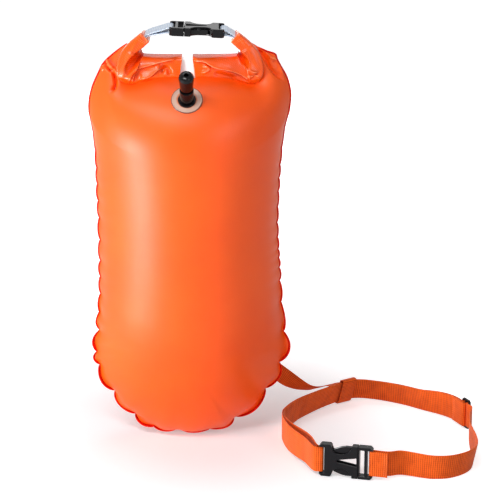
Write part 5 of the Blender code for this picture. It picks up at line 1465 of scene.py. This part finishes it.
    def half_roll(self, side: int, slant_size: float) -> Points:
        """Sections from the middle of the roll to the end of one ear.

        Each section is a superellipse between the outer and the inner line. Along the roll it grows
        thinner to its top. Along the ear it is squarer, and its front face is narrower than its back,
        so that the inner side slants; the outer side slants the other way. Near the middle the
        sections lean with the gap's slanting side.

        Args:
            side: -1 for the left half, 1 for the right one.
            slant_size: how much the ear's inner side slants.

        Returns:
            Points as sections by points round each of them.
        """
        form = self.form
        outer = through(form.outer_knots(), self.steps)
        inner = through(form.inner_knots(), self.steps)
        share = np.linspace(0.0, 1.0, len(outer))[:, None]
        on_ear = ease((share - self.ear_start[0]) / self.ear_start[1])
        corner, ear = (self.section(power) for power in (self.corner_power, self.ear_power))
        along, deep = (corner[:, k] + (ear[:, k] - corner[:, k]) * on_ear for k in (0, 1))
        deep = deep * (1.0 - self.top_taper * (1.0 - on_ear) * (1.0 - along) / 2)
        front_end, back_end = self.slant_ends
        slant = slant_size * np.interp(share, self.slant_places, self.slants)
        slant = slant * np.clip((front_end - deep) / (1.0 + front_end), 0.0, 1.0)
        along = along + slant * (1.0 - along) / 2
        slant = self.back_slant * on_ear * np.clip((back_end + deep) / (1.0 + back_end), 0.0, 1.0)
        along = along - slant * (1.0 + along) / 2
        deeper = (form.ear_half_depth - form.roll_half_depth) * np.minimum(1.0, self.deepening * share)
        half_depth = form.roll_half_depth + deeper
        middle, half = (outer + inner) / 2, (outer - inner) / 2
        rim = unit(outer[-1] - inner[-1])
        out = np.array([-rim[1], rim[0]])
        out = out if out[1] > 0 else -out
        reaches, scales = np.array(self.end_rounding).T[..., None]
        middle = np.vstack([middle, middle[-1:] + out * reaches])
        half = np.vstack([half, half[-1:] * scales])
        along, deep = (np.vstack([part] + [part[-1:]] * len(scales)) for part in (along, deep))
        half_depth = np.vstack([half_depth, half_depth[-1:] * (1 + scales) / 2])
        x, z = np.moveaxis(middle[:, None] + half[:, None] * along[..., None], -1, 0)
        up = np.clip((z - form.roll_base) / form.roll_height, 0.0, 1.0)
        start = self.gap_base + (self.gap_top - self.gap_base) * up - side * form.top_shift
        spread = np.where(x < self.gap_reach, start + x * (self.gap_reach - start) / self.gap_reach, x)
        return np.stack([side * spread, deep * half_depth, z], axis=-1)

    def roll_grid(self) -> Points:
        """Sections from the left ear to the right one, pressed back between them behind the tape."""
        left, right = (self.half_roll(side, size) for side, size in zip((-1, 1), self.slant_sizes))
        left = left[::-1]
        inset = [np.stack([row[:, 0], np.maximum(row[:, 1], self.gap_back),
                           np.minimum(row[:, 2], self.gap_crown)], axis=-1) for row in (left[-1], right[0])]
        between = [inset[0] * (1 - share) + inset[1] * share for share in (0.0, 0.3, 0.7, 1.0)]
        return np.concatenate([left, np.array(between), right]) + (self.form.top_shift, 0.0, 0.0)


@dataclass
class ClosureTabs:
    """A loop of clear coated webbing from each end of the roll round the top buckle, and the buckle."""

    form: BagForm
    web: WideWebbing = WideWebbing()
    seat: float = 0.016                      # webbing hidden inside the roll
    buckle_middle: tuple = (0.0135, 0.6130)
    buckle_slope: float = math.radians(2.7)
    fold_angles: tuple = (75.0, 285.0)       # degrees round the bar
    gather: tuple = (1.3, 0.92)              # fold radii inside the bar and beside it
    lead_parts: tuple = (4, 12)              # seat over the straight way out of the roll, left and right

    def build(self) -> None:
        """Makes both loops and dresses the buckle."""
        outer, inner = self.form.outer_knots()[-1], self.form.inner_knots()[-1]
        middle = (outer + inner) / 2
        edge = unit(outer - inner)
        out = np.array([-edge[1], edge[0]])
        for side, label in ((-1, "left"), (1, "right")):
            line = self.route(side, middle, out)
            low = np.column_stack([line[:, 0], np.full(len(line), -self.web.width / 2), line[:, 1]])
            high = low * (1.0, -1.0, 1.0)
            node = f"closure_tab_{label}"
            mesh = strap_mesh(f"{node}_webbing", low, high, self.web.thickness)
            place(mesh, Finish.TAB, "buoy", [node])
        dress_nodes(Finish.SATIN_BLACK, "closure_buckle_female", "closure_buckle_male",
                    "closure_latch_front", "closure_latch_rear")

    def route(self, side: int, middle: Points, out: Points) -> Points:
        """Way of one loop in front view, from inside the roll round the bar and back.

        Args:
            side: -1 for the left loop, 1 for the right one.
            middle: middle of the right ear's end.
            out: outward direction of the right ear's end.

        Returns:
            Points in x and z.
        """
        layer = (self.web.thickness + self.web.layer_gap) / 2
        radius = self.web.fold_radius
        slope = np.array([math.cos(self.buckle_slope), -math.sin(self.buckle_slope)])
        bar = np.array(self.buckle_middle) + slope * self.web.bar_reach() * side
        exit_way = np.array([side * out[0], out[1]])
        face = np.array([side * middle[0] + self.form.top_shift, middle[1]])
        up = np.array([-exit_way[1], exit_way[0]]) * -side
        away = slope * side
        rise = np.array([-away[1], away[0]]) * side
        start = face - exit_way * self.seat
        lead = exit_way * self.seat / self.lead_parts[side > 0]
        inside, beside_bar = self.gather
        layers = []
        for face_side in (1, -1):
            shift = up * layer * face_side
            end = bar + away * radius * inside + rise * radius * beside_bar * face_side
            knots = [start + shift, face + shift, face + lead + shift, end]
            layers.append(spread_evenly(through(knots, FORM_STEPS), self.web.width / 16))
        turn = math.atan2(away[1], away[0])
        angles = turn + side * np.radians(np.linspace(*self.fold_angles, 9))
        fold = bar + radius * np.column_stack([np.cos(angles), np.sin(angles)])
        return through(np.vstack([layers[0], fold, layers[1][::-1]]), 3)


@dataclass
class AirValve:
    """The oral valve: a clear welded flange and the black tube, mouthpiece and poppet."""

    form: BagForm
    height_share: float = 0.68
    flange_radius: float = 0.0224
    flange_thickness: float = 0.0011
    hole_radius: float = 0.0108
    flange_rings: tuple = (14, 6)            # on its face and on its back
    flange_sides: int = 96
    flange_edge: tuple = (0.97, 0.99, 1.0, 0.99)     # its last ring on the face, then those round it
    flange_drops: tuple = (0.0002, 0.0006)   # by which the first two of them lie lower
    flange_sunk: float = 0.0008              # depth of its back under the lift
    bead: tuple = (0.0005, 0.92, 0.03)       # height, place and width, the last two to the radius
    lift: float = 0.0003
    axis: tuple = (0.0, -0.622, 0.78302)
    axis_foot: tuple = (0.0, 0.22162, 0.17604)
    spring_ends: tuple = (0.43605, 0.45537)   # places along the axis
    spring_radius: float = 0.00595
    spring_wire: float = 0.00045
    spring_turns: int = 7
    spring_steps: int = 24
    spring_sides: int = 8
    spring_closing: float = 0.45     # how closely the end turns lie, from zero to one
    spring_keep: float = 0.85    # share of its length when the mouthpiece is pressed in by 3 mm

    def build(self) -> None:
        """Makes the flange and dresses the moulded pieces."""
        u, v = self.middle_u(), 2.0 + self.height_share
        across, upward = self.form.slopes(u, v)
        angle = whole_turn(self.flange_sides)
        hole = self.hole_radius / self.flange_radius
        face, back = self.flange_rings
        last, *edge = self.flange_edge
        ring = np.concatenate([np.linspace(hole, last, face), edge, np.linspace(last, hole, back)])
        over = self.lift + self.flange_thickness
        height = np.concatenate([np.full(face, over), over - np.array(self.flange_drops), [self.lift],
                                 np.full(back, self.lift - self.flange_sunk)])
        size, spot, width = self.bead
        height = height + size * hill(ring - spot, width) * (height > over / 2)
        at_u = u + self.flange_radius / np.linalg.norm(across) * ring[:, None] * np.cos(angle)
        at_v = v + self.flange_radius / np.linalg.norm(upward) * ring[:, None] * np.sin(angle)
        spots = self.raised(at_u, at_v, np.broadcast_to(height[:, None], at_u.shape))
        far = np.concatenate([ring, ring[:1]]) * self.flange_radius
        flat = np.broadcast_to(far[:, None, None], (len(far), len(angle) + 1, 2))
        mesh = grid_mesh("valve_flange_disc", spots[:, ::-1], flat, wrap=True, ring=True)
        place(mesh, Finish.FLANGE, "buoy", ["valve_flange"])
        dress_nodes(Finish.GLOSSY_BLACK, "valve_tube", "valve_mouthpiece", "valve_stem")
        dress_nodes(Finish.SEAL, "valve_seal")
        self.add_spring()

    def add_spring(self) -> None:
        """Compression spring: a circle carried along a helix whose end turns lie closed.

        Its height is a smooth step of the turn's share, blended with the plain share.
        """
        share = np.linspace(0.0, 1.0, self.spring_turns * self.spring_steps + 1)
        turn = 2 * math.pi * self.spring_turns * share
        rise = (1.0 - self.spring_closing) * share + self.spring_closing * ease(share)
        axis, side = np.array(self.axis), np.array([1.0, 0.0, 0.0])
        third = np.cross(axis, side)
        foot, (low, high) = np.array(self.axis_foot), self.spring_ends
        arm = side * np.cos(turn)[:, None] + third * np.sin(turn)[:, None]
        line = foot + axis * (low + (high - low) * rise)[:, None] + arm * self.spring_radius
        way = unit(np.gradient(line, axis=0))
        over = unit(np.cross(way, arm))
        angle = whole_turn(self.spring_sides)
        grid = line[:, None] + self.spring_wire * (arm[:, None] * np.cos(angle)[:, None]
                                                   + over[:, None] * np.sin(angle)[:, None])
        mesh = grid_mesh("valve_spring_wire", grid, wrap=True, caps=True)
        item = place(mesh, Finish.STEEL, "buoy", ["valve_spring"])
        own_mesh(item)

    def middle_u(self) -> float:
        """Place across the panel of its point on x = 0 at the valve's height, read from a fine row."""
        row = np.linspace(-0.3, 0.3, 1201)
        x = self.form.surface(row, np.full(row.shape, 2.0 + self.height_share))[:, 0]
        return float(np.interp(0.0, x, row))

    def raised(self, u: Points, v: Points, height: Points) -> Points:
        """Points over the front panel at a height along its normal."""
        return self.form.surface(u, v) + unit(np.cross(*self.form.slopes(u, v))) * height[..., None]


@dataclass(frozen=True)
class BeltPath(WideWebbing):
    """Route of the waist belt on the ground, as the CAD solids have it."""

    slack: float = 0.0070
    buckle: tuple = (0.2250, -0.1600)
    buckle_turn: float = math.radians(-13.0)
    buckle_half_width: float = 0.0245
    span: tuple = (0.287, 0.300)
    middle: tuple = (0.2815, -0.018)
    tab_length: float = 0.0230
    slider_share: tuple = (0.458, 0.116)
    slider_turn: float = math.radians(116.0)
    slider_length: float = 0.0200
    slider_width: float = 0.0460
    slider_thickness: float = 0.0030
    slider_bar: float = 0.0040
    leash_width: float = 0.025
    leash_thickness: float = 0.0014
    leash_tab: float = 0.0220
    gap: float = 0.0003
    step: float = 0.0025
    corner: float = 0.6              # corners of the way round the slider, in thicknesses
    slider_lead: float = 1.6         # straight way on each side of the slider, in half lengths of it
    slider_tab: float = 1.3          # the end sewn behind the slider, in lengths of it
    before_slider: tuple = (
        (0.075, -0.483), (0.235, -0.503), (0.308, -0.495), (0.381, -0.453), (0.426, -0.400), (0.446, -0.340),
        (0.456, -0.267), (0.458, -0.180), (0.461, -0.093), (0.468, -0.025),
    )
    after_slider: tuple = ((0.362, 0.262), (0.270, 0.348), (0.130, 0.446), (0.010, 0.488), (-0.095, 0.494))
    loop: tuple = (-0.165, 0.463)
    after_loop: tuple = (
        (-0.235, 0.410), (-0.335, 0.322), (-0.415, 0.228), (-0.475, 0.110), (-0.500, 0.004),
        (-0.484, -0.125), (-0.440, -0.248), (-0.398, -0.335),
    )
    lean_places: tuple = (0.0, 0.10, 0.20, 0.28, 0.38, 0.46, 0.56, 0.66, 0.73, 0.81, 0.87, 0.93, 1.0)
    lean_degrees: tuple = (0.0, -6.0, -12.0, 2.0, 2.0, 15.0, 21.0, 20.0, 12.0, -1.0, 2.0, 6.0, 0.0)

    def spots(self, shares: Sequence) -> Points:
        """Places on the ground from shares of the belt's span about its middle."""
        return np.array(self.middle) + np.array(shares) * np.array(self.span)

    def axes(self, middle: Sequence, turn: float) -> tuple[Points, Points, Points]:
        """A middle on the ground, the way at an angle from it, and the way to its right."""
        way = np.array([math.cos(turn), math.sin(turn)])
        return np.array(middle), way, np.array([way[1], -way[0]])

    def buckle_axes(self) -> tuple[Points, Points, Points]:
        """Middle of the buckle, the way to its male half and the way out of the loop."""
        return self.axes(self.buckle, self.buckle_turn)

    def slider_axes(self) -> tuple[Points, Points, Points]:
        """Middle of the slider, the way along the strap and the way out of the loop."""
        return self.axes(self.spots(self.slider_share), self.slider_turn)

    def weave(self) -> Points:
        """The strap's way over the slider, along and out from its line."""
        half = self.thickness / 2
        over = 3 * self.gap + 3 * half + self.slider_thickness
        column = self.slider_bar / 2 + 2 * self.gap + 3 * half
        corner = self.thickness * self.corner
        rise = np.array([(-column - corner, 0.0), (-column, corner), (-column, over - corner),
                         (-column + corner, over)])
        return np.vstack([rise, rise[::-1] * (-1.0, 1.0)])

    def runs(self) -> tuple[Points, Points, Points]:
        """Main run from the male buckle to the slider, its weave, and the run on to the female buckle."""
        middle, way, out = self.buckle_axes()
        reach = self.bar_reach()
        slider, slide, slide_out = self.slider_axes()
        lead = middle + way * reach - out * self.fold_radius
        straight = self.slider_length / 2 + self.thickness
        first = np.vstack([lead, lead + way * self.tab_length, self.spots(self.before_slider),
                           slider - slide * straight * self.slider_lead, slider - slide * straight])
        weave = self.weave() @ np.array([slide, slide_out]) + slider
        entry = middle - way * reach + out * self.fold_radius
        second = np.vstack([slider + slide * straight, slider + slide * straight * self.slider_lead,
                            self.spots(self.after_slider), self.spots(self.loop), self.spots(self.after_loop),
                            entry - way * self.tab_length / 3, entry])
        first, second = (spread_evenly(through(knots, RUN_STEPS), self.step) for knots in (first, second))
        return first, weave, second

    def right_of(self, line: Points) -> Points:
        """Unit vectors to the right of a line's way, seen from above."""
        way = unit(np.gradient(line, lengths_along(line), axis=0))
        return np.column_stack([way[:, 1], -way[:, 0]])

    def inner_layer(self, second: Points) -> Points:
        """Second layer, back from the female bar to the slider, beside the outer one.

        Its distance from the outer layer is one thickness and a gap, and grows near the buckle to
        the width of the fold round the bar, with some slack that bellies out.
        """
        from_bar = lengths_along(second)[-1] - lengths_along(second)
        near = self.thickness + self.layer_gap
        share = np.clip(from_bar / (2 * self.buckle_length), 0.0, 1.0)
        spread = near + (2 * self.fold_radius - near) * (1.0 - ease(share))
        spread = spread + self.slack * np.sin(math.pi * share) ** 2
        return (second - self.right_of(second) * spread[:, None])[::-1]

    def end_fold(self) -> Points:
        """The inner layer's way round the slider's middle bar, along and out from the strap's line."""
        near = -(self.thickness + self.layer_gap)
        half = self.thickness / 2
        top = half + 2 * self.gap + self.slider_thickness + half
        column = self.slider_bar / 2 + self.gap + half
        corner = self.thickness * self.corner
        low = near * 2
        tab = self.slider_length * self.slider_tab
        return np.array([(column + corner, near), (column, near + corner), (column, top - corner),
                         (column - corner, top), (corner - column, top), (-column, top - corner),
                         (-column, low + corner), (corner - column, low), (tab / 2, low), (tab, low)])

    def line(self) -> tuple[Points, Points]:
        """Whole way of the strap's middle seen from above, and the main route that its lean follows."""
        middle, way, out = self.buckle_axes()
        male, female = (middle + way * reach for reach in (self.bar_reach(), -self.bar_reach()))
        first, weave, second = self.runs()
        start = math.atan2(out[1], out[0])
        angles = np.linspace(0.0, math.pi, 13)[:, None]
        male_fold, female_fold = (bar + self.fold_radius * np.hstack([np.cos(turn), np.sin(turn)])
                                  for bar, turn in ((male, start - angles), (female, start + angles)))
        shares = np.linspace(1.0, 0.12, 8)[:, None]
        tab = male + out * self.fold_radius + way * shares * self.tab_length
        slider, slide, slide_out = self.slider_axes()
        inner = self.inner_layer(second)
        beyond = (inner - slider) @ slide > self.slider_length / 2
        keep = inner[beyond | (np.linalg.norm(inner - slider, axis=1) > 2 * self.slider_length)]
        wrap = self.end_fold() @ np.array([slide, slide_out]) + slider
        whole = np.vstack([tab, male_fold, first[2:], weave, second[:-2], female_fold, keep[2:], wrap])
        return through(whole, 2), np.vstack([first, second])

    def freed(self, spots: Points) -> tuple[Points, Points, Points]:
        """How free the strap is of the buckle, the slider and the leash's loop, from zero to one."""
        held = ((self.buckle, (self.buckle_length + self.leash_tab) / 2),
                (self.spots(self.slider_share), self.slider_length),
                (self.spots(self.loop), self.leash_width / 2))
        return tuple(ease((np.linalg.norm(spots - np.array(middle), axis=1) - half) / self.buckle_length)
                     for middle, half in held)

    def height(self, spots: Points) -> Points:
        """Height of the strap's lower edge: raised at the buckle, the slider and the leash's loop."""
        rises = (self.buckle_half_width - self.width / 2, (self.slider_width - self.width) / 2,
                 self.leash_thickness + 4 * self.gap)
        return np.max([rise * (1 - free) for rise, free in zip(rises, self.freed(spots))], axis=0)

    def lean(self, spots: Points, route: Points) -> Points:
        """Inward lean at spots, read from the nearest place of the route; none in slider and buckle."""
        along = lengths_along(route)
        nearest = np.argmin(((spots[:, None] - route[None]) ** 2).sum(axis=2), axis=1)
        lean = np.radians(np.interp(along[nearest] / along[-1], self.lean_places, self.lean_degrees))
        from_buckle, from_slider, _ = self.freed(spots)
        return lean * from_slider * from_buckle

    def edges(self) -> tuple[Points, Points]:
        """Lower and upper edge of the standing strap, leaning inwards about its lower edge."""
        line, route = self.line()
        lean = self.lean(line, route)
        height = self.height(line) + self.thickness / 2 * np.abs(np.sin(lean))
        inward = unit(np.array(self.middle) - line)
        low = np.column_stack([line, height])
        high = np.column_stack([line + inward * (self.width * np.sin(lean))[:, None],
                                height + self.width * np.cos(lean)])
        return low, high


@dataclass
class WaistBelt:
    """The belt of one length of webbing, its side-release buckle and its slider."""

    path: BeltPath
    sewn_at: tuple = (0.0016, 0.0046)        # from each end
    sewn_margin: float = 0.002

    def build(self) -> None:
        """Makes the strap and dresses the moulded pieces on it."""
        low, high = self.path.edges()
        mesh = strap_mesh("waist_strap_webbing", low, high, self.path.thickness)
        place(mesh, Finish.WEBBING, "belt", ["waist_strap"])
        outward = np.append(self.path.buckle_axes()[2], 0.0)
        inward = -np.append(self.path.slider_axes()[2], 0.0)
        rows = sewn_ends(low, high, self.sewn_at, (outward, inward), self.path.thickness / 2,
                         self.sewn_margin)
        place(Thread().mesh("waist_strap_stitches", rows), Finish.THREAD, "belt")
        dress_nodes(Finish.BLACK, "strap_slider", "belt_buckle_female", "belt_buckle_male",
                    "belt_latch_upper", "belt_latch_lower")


@dataclass
class TowLeash:
    """Welded anchor patch, fabric keeper and wire ring on the back, and the leash to the belt."""

    form: BagForm
    path: BeltPath
    anchor: tuple = (0.30, 0.442)
    patch_half: tuple = (0.0240, 0.0280)
    patch_thickness: float = 0.0010
    patch_lift: float = 0.0003
    patch_rings: tuple = (0.04, 0.96, 20)    # first, last and number of those on its flat
    patch_edge: tuple = ((0.985, 0.86), (1.0, 0.5), (1.0, -0.6))     # those after, in radii and thicknesses
    patch_groove: tuple = (0.0003, 0.88, 0.02)       # depth, place and width, the last two in radii
    patch_sides: int = 80
    keeper_height: float = 0.0220
    keeper_thickness: float = 0.0012
    keeper_foot: float = 0.0150
    keeper_neck: float = 0.0040
    keeper_sole: float = 0.6                 # part of the foot that lies flat
    ring_wire: float = 0.0030
    ring_standoff: float = 0.0085
    ring_spacing: float = 0.0140
    ring_turn: float = math.radians(27.0)
    route: tuple = (
        (0.119, 0.0725, 0.082), (0.137, 0.0765, 0.064), (0.155, 0.084, 0.048),
        (0.173, 0.096, 0.034), (0.189, 0.112, 0.0255), (0.203, 0.131, 0.0205),
    )
    twist_start: float = 0.03
    twist_length: float = 0.62
    turn_weight: float = 0.02                # metres that the width's way counts in the smoothing
    loop_slack: float = 0.0016
    loop_lead: float = 0.0300
    sewn_at: tuple = (0.0016, 0.0050)        # from each end
    sewn_margin: float = 0.0016

    def build(self) -> None:
        """Makes the patch, the keeper and the leash, and dresses the ring."""
        self.add_patch()
        self.add_keeper()
        self.add_webbing()
        dress_nodes(Finish.STEEL, "leash_ring")

    def frame_at(self, u: Points, v: Points) -> tuple[Points, Points, Points, Points]:
        """Back panel's place, its vectors across and up by unit of u and v, and its outward normal."""
        across, upward = self.form.slopes(u, v)
        vectors = (self.form.surface(u, v), across, upward, unit(np.cross(across, upward)))
        return tuple(vector * (1.0, -1.0, 1.0) for vector in vectors)

    def ring_axes(self) -> tuple[Points, Points, Points, Points, Points]:
        """Middles of the ring's two upright sides, the way between them, the way out and the level way."""
        spot, _, _, normal = self.frame_at(*self.anchor)
        out = unit(normal * (1.0, 1.0, 0.0))
        level = np.array([out[1], -out[0], 0.0])
        inner = spot + out * self.ring_standoff
        way = level * math.cos(self.ring_turn) + out * math.sin(self.ring_turn)
        return inner, inner + way * self.ring_spacing, way, out, level

    def add_patch(self) -> None:
        """Round patch over the panel: rings about the anchor, raised by its lift, with a soft edge."""
        _, across, upward, _ = self.frame_at(*self.anchor)
        size = np.array([np.linalg.norm(across), np.linalg.norm(upward)])
        radii, levels = np.array(self.patch_edge).T
        inner = np.linspace(*self.patch_rings)
        ring = np.concatenate([inner, radii])
        height = self.patch_lift + self.patch_thickness * np.concatenate([np.ones(len(inner)), levels])
        groove, spot, width = self.patch_groove
        height = height - groove * hill(ring - spot, width)
        angle = whole_turn(self.patch_sides)
        circle = np.column_stack([np.cos(angle), np.sin(angle)])
        flat = ring[:, None, None] * circle * self.patch_half
        u, v = np.moveaxis(np.array(self.anchor) + flat / size, -1, 0)
        spot, _, _, normal = self.frame_at(u, v)
        grid = spot + normal * height[:, None, None]
        flat = np.concatenate([flat, flat[:, :1]], axis=1)
        mesh = grid_mesh("anchor_patch_cloth", grid, flat, wrap=True, caps=True)
        place(mesh, Finish.PANEL, "buoy", ["anchor_patch"])

    def add_keeper(self) -> None:
        """Short webbing loop round the ring's inner side, its feet welded to the patch."""
        inner, _, _, out, level = self.ring_axes()
        spot, across, upward, _ = self.frame_at(*self.anchor)
        radius = self.ring_wire / 2 + 2 * self.path.gap + self.keeper_thickness / 2
        foot_lift = self.patch_thickness + self.keeper_thickness / 2 + 3 * self.path.gap
        size_u, size_v = np.linalg.norm(across), np.linalg.norm(upward)
        angle = np.linspace(math.radians(150), -math.radians(150), 25)[:, None]
        edges = []
        for side in (-1, 1):
            v = self.anchor[1] + side * self.keeper_height / 2 / size_v
            reach = np.array([self.keeper_neck, self.keeper_sole * self.keeper_foot, self.keeper_foot])
            reach = np.concatenate([-reach[::-1], reach])
            foot, _, _, normal = self.frame_at(self.anchor[0] + reach / size_u, np.full(reach.shape, v))
            foot = foot + normal * foot_lift
            middle = np.array([inner[0], inner[1], spot[2] + side * self.keeper_height / 2])
            bow = middle + radius * (out * np.cos(angle) - level * np.sin(angle))
            edges.append(through(np.vstack([foot[:3], bow, foot[3:]]), 3))
        mesh = strap_mesh("ring_keeper_webbing", edges[0], edges[1], self.keeper_thickness)
        place(mesh, Finish.WEBBING, "buoy", ["ring_keeper"])

    def loop_axes(self) -> tuple[Points, Points, Points, float]:
        """Place of the loop on the belt, the belt's way there, the way out and the belt's lean."""
        first, _, second = self.path.runs()
        spot = self.path.spots(self.path.loop)
        nearest = int(np.argmin(np.linalg.norm(second - spot, axis=1)))
        out = self.path.right_of(second)[nearest]
        lean = self.path.lean(spot[None], np.vstack([first, second]))[0]
        return spot, np.array([-out[1], out[0], 0.0]), np.array([out[0], out[1], 0.0]), float(lean)

    def loop_shape(self) -> Points:
        """The leash's way round both layers of the belt, as lengths out from it and up.

        Its corners are rounded by a few half thicknesses, and its end lies a layer under its start.
        """
        path = self.path
        half = path.leash_thickness / 2
        clear = path.gap + self.loop_slack + half
        outer = path.thickness / 2 + clear
        inner = -(path.thickness * 1.5 + path.layer_gap + clear)
        low = half + path.gap / 3
        top = path.leash_thickness + 7 * path.gap + path.width + half
        middle = (outer + inner) / 2
        start = path.width / 2
        layer = path.leash_thickness + path.layer_gap
        return np.array([
            (outer + 4 * half, start + half * 3), (outer, start + half * 10), (outer, top - half * 4),
            (outer - half, top - half), (middle, top), (inner + half, top - half), (inner, top - half * 4),
            (inner, start), (inner, low + half * 4), (inner + half, low + half), (middle, low),
            (outer - half, low + half), (outer, low + half * 3), (outer + half, start - layer * 2.4),
            (outer + 5 * half, start - layer * 1.15), (self.loop_lead * 0.8, start - layer)])

    def add_webbing(self) -> None:
        """The leash: an eye on the ring, a run that twists down to the ground, and a loop on the belt."""
        _, outer, way, _, _ = self.ring_axes()
        path = self.path
        radius = self.ring_wire / 2 + 2 * path.gap + path.leash_thickness / 2
        side = np.array([way[1], -way[0], 0.0])
        layer = path.leash_thickness + path.layer_gap
        up = np.array([0.0, 0.0, 1.0])
        tab = path.leash_tab
        angle = np.linspace(math.radians(60), math.radians(300), 13)[:, None]
        eye = np.vstack([
            outer + way * tab * np.array([[1.0], [0.85], [0.7], [0.55], [0.45]]) + side * layer,
            outer + way * radius * 1.4 + side * (radius + layer) / 2,
            outer + radius * (way * np.cos(angle) + side * np.sin(angle)),
            outer + way * radius * 1.5 - side * radius / 3,
            outer + way * tab * np.array([[0.45], [0.7]])])
        spot, belt_way, out, lean = self.loop_axes()
        shape = self.loop_shape()
        ground = np.array([spot[0], spot[1], 0.0])
        loop = ground + out * (shape[:, :1] - shape[:, 1:] * math.tan(lean)) + up * shape[:, 1:]
        leads = [ground + out * (reach - shape[0, 1] * math.tan(lean)) + up * shape[0, 1]
                 for reach in (self.loop_lead, self.loop_lead / 2)]
        run = np.vstack([outer + way * tab * 0.7, outer + way * tab, np.array(self.route), *leads])
        run = spread_evenly(through(run, RUN_STEPS), path.step)[1:]
        share = lengths_along(run) / lengths_along(run)[-1]
        twist = ease((share - self.twist_start) / self.twist_length)[:, None] * math.pi / 2
        turned = up * np.cos(twist) - belt_way * np.sin(twist)
        line = np.vstack([eye, run, loop])
        wide = np.vstack([np.broadcast_to(up, eye.shape), turned, np.broadcast_to(-belt_way, loop.shape)])
        both = through(np.hstack([line, wide * self.turn_weight]), 3)
        line, wide = both[:, :3], unit(both[:, 3:])
        low, high = (line + wide * half for half in (-path.leash_width / 2, path.leash_width / 2))
        rows = sewn_ends(low, high, self.sewn_at, (side, up), path.leash_thickness / 2, self.sewn_margin)
        place(Thread().mesh("tow_leash_stitches", rows), Finish.THREAD, "belt")
        mesh = strap_mesh("tow_leash_webbing", low, high, path.leash_thickness)
        place(mesh, Finish.WEBBING, "belt", ["tow_leash"])


def main() -> None:
    """Builds the stage and the buoy's sub-assemblies in order."""
    logging.basicConfig(level=logging.INFO, format="%(name)s: %(message)s")
    Studio().build()
    form, path = BagForm(), BeltPath()
    for assembly in (BagShell(form), RollTop(form), ClosureTabs(form), AirValve(form), WaistBelt(path),
                     TowLeash(form, path)):
        assembly.build()


if __name__ == "__main__":
    main()
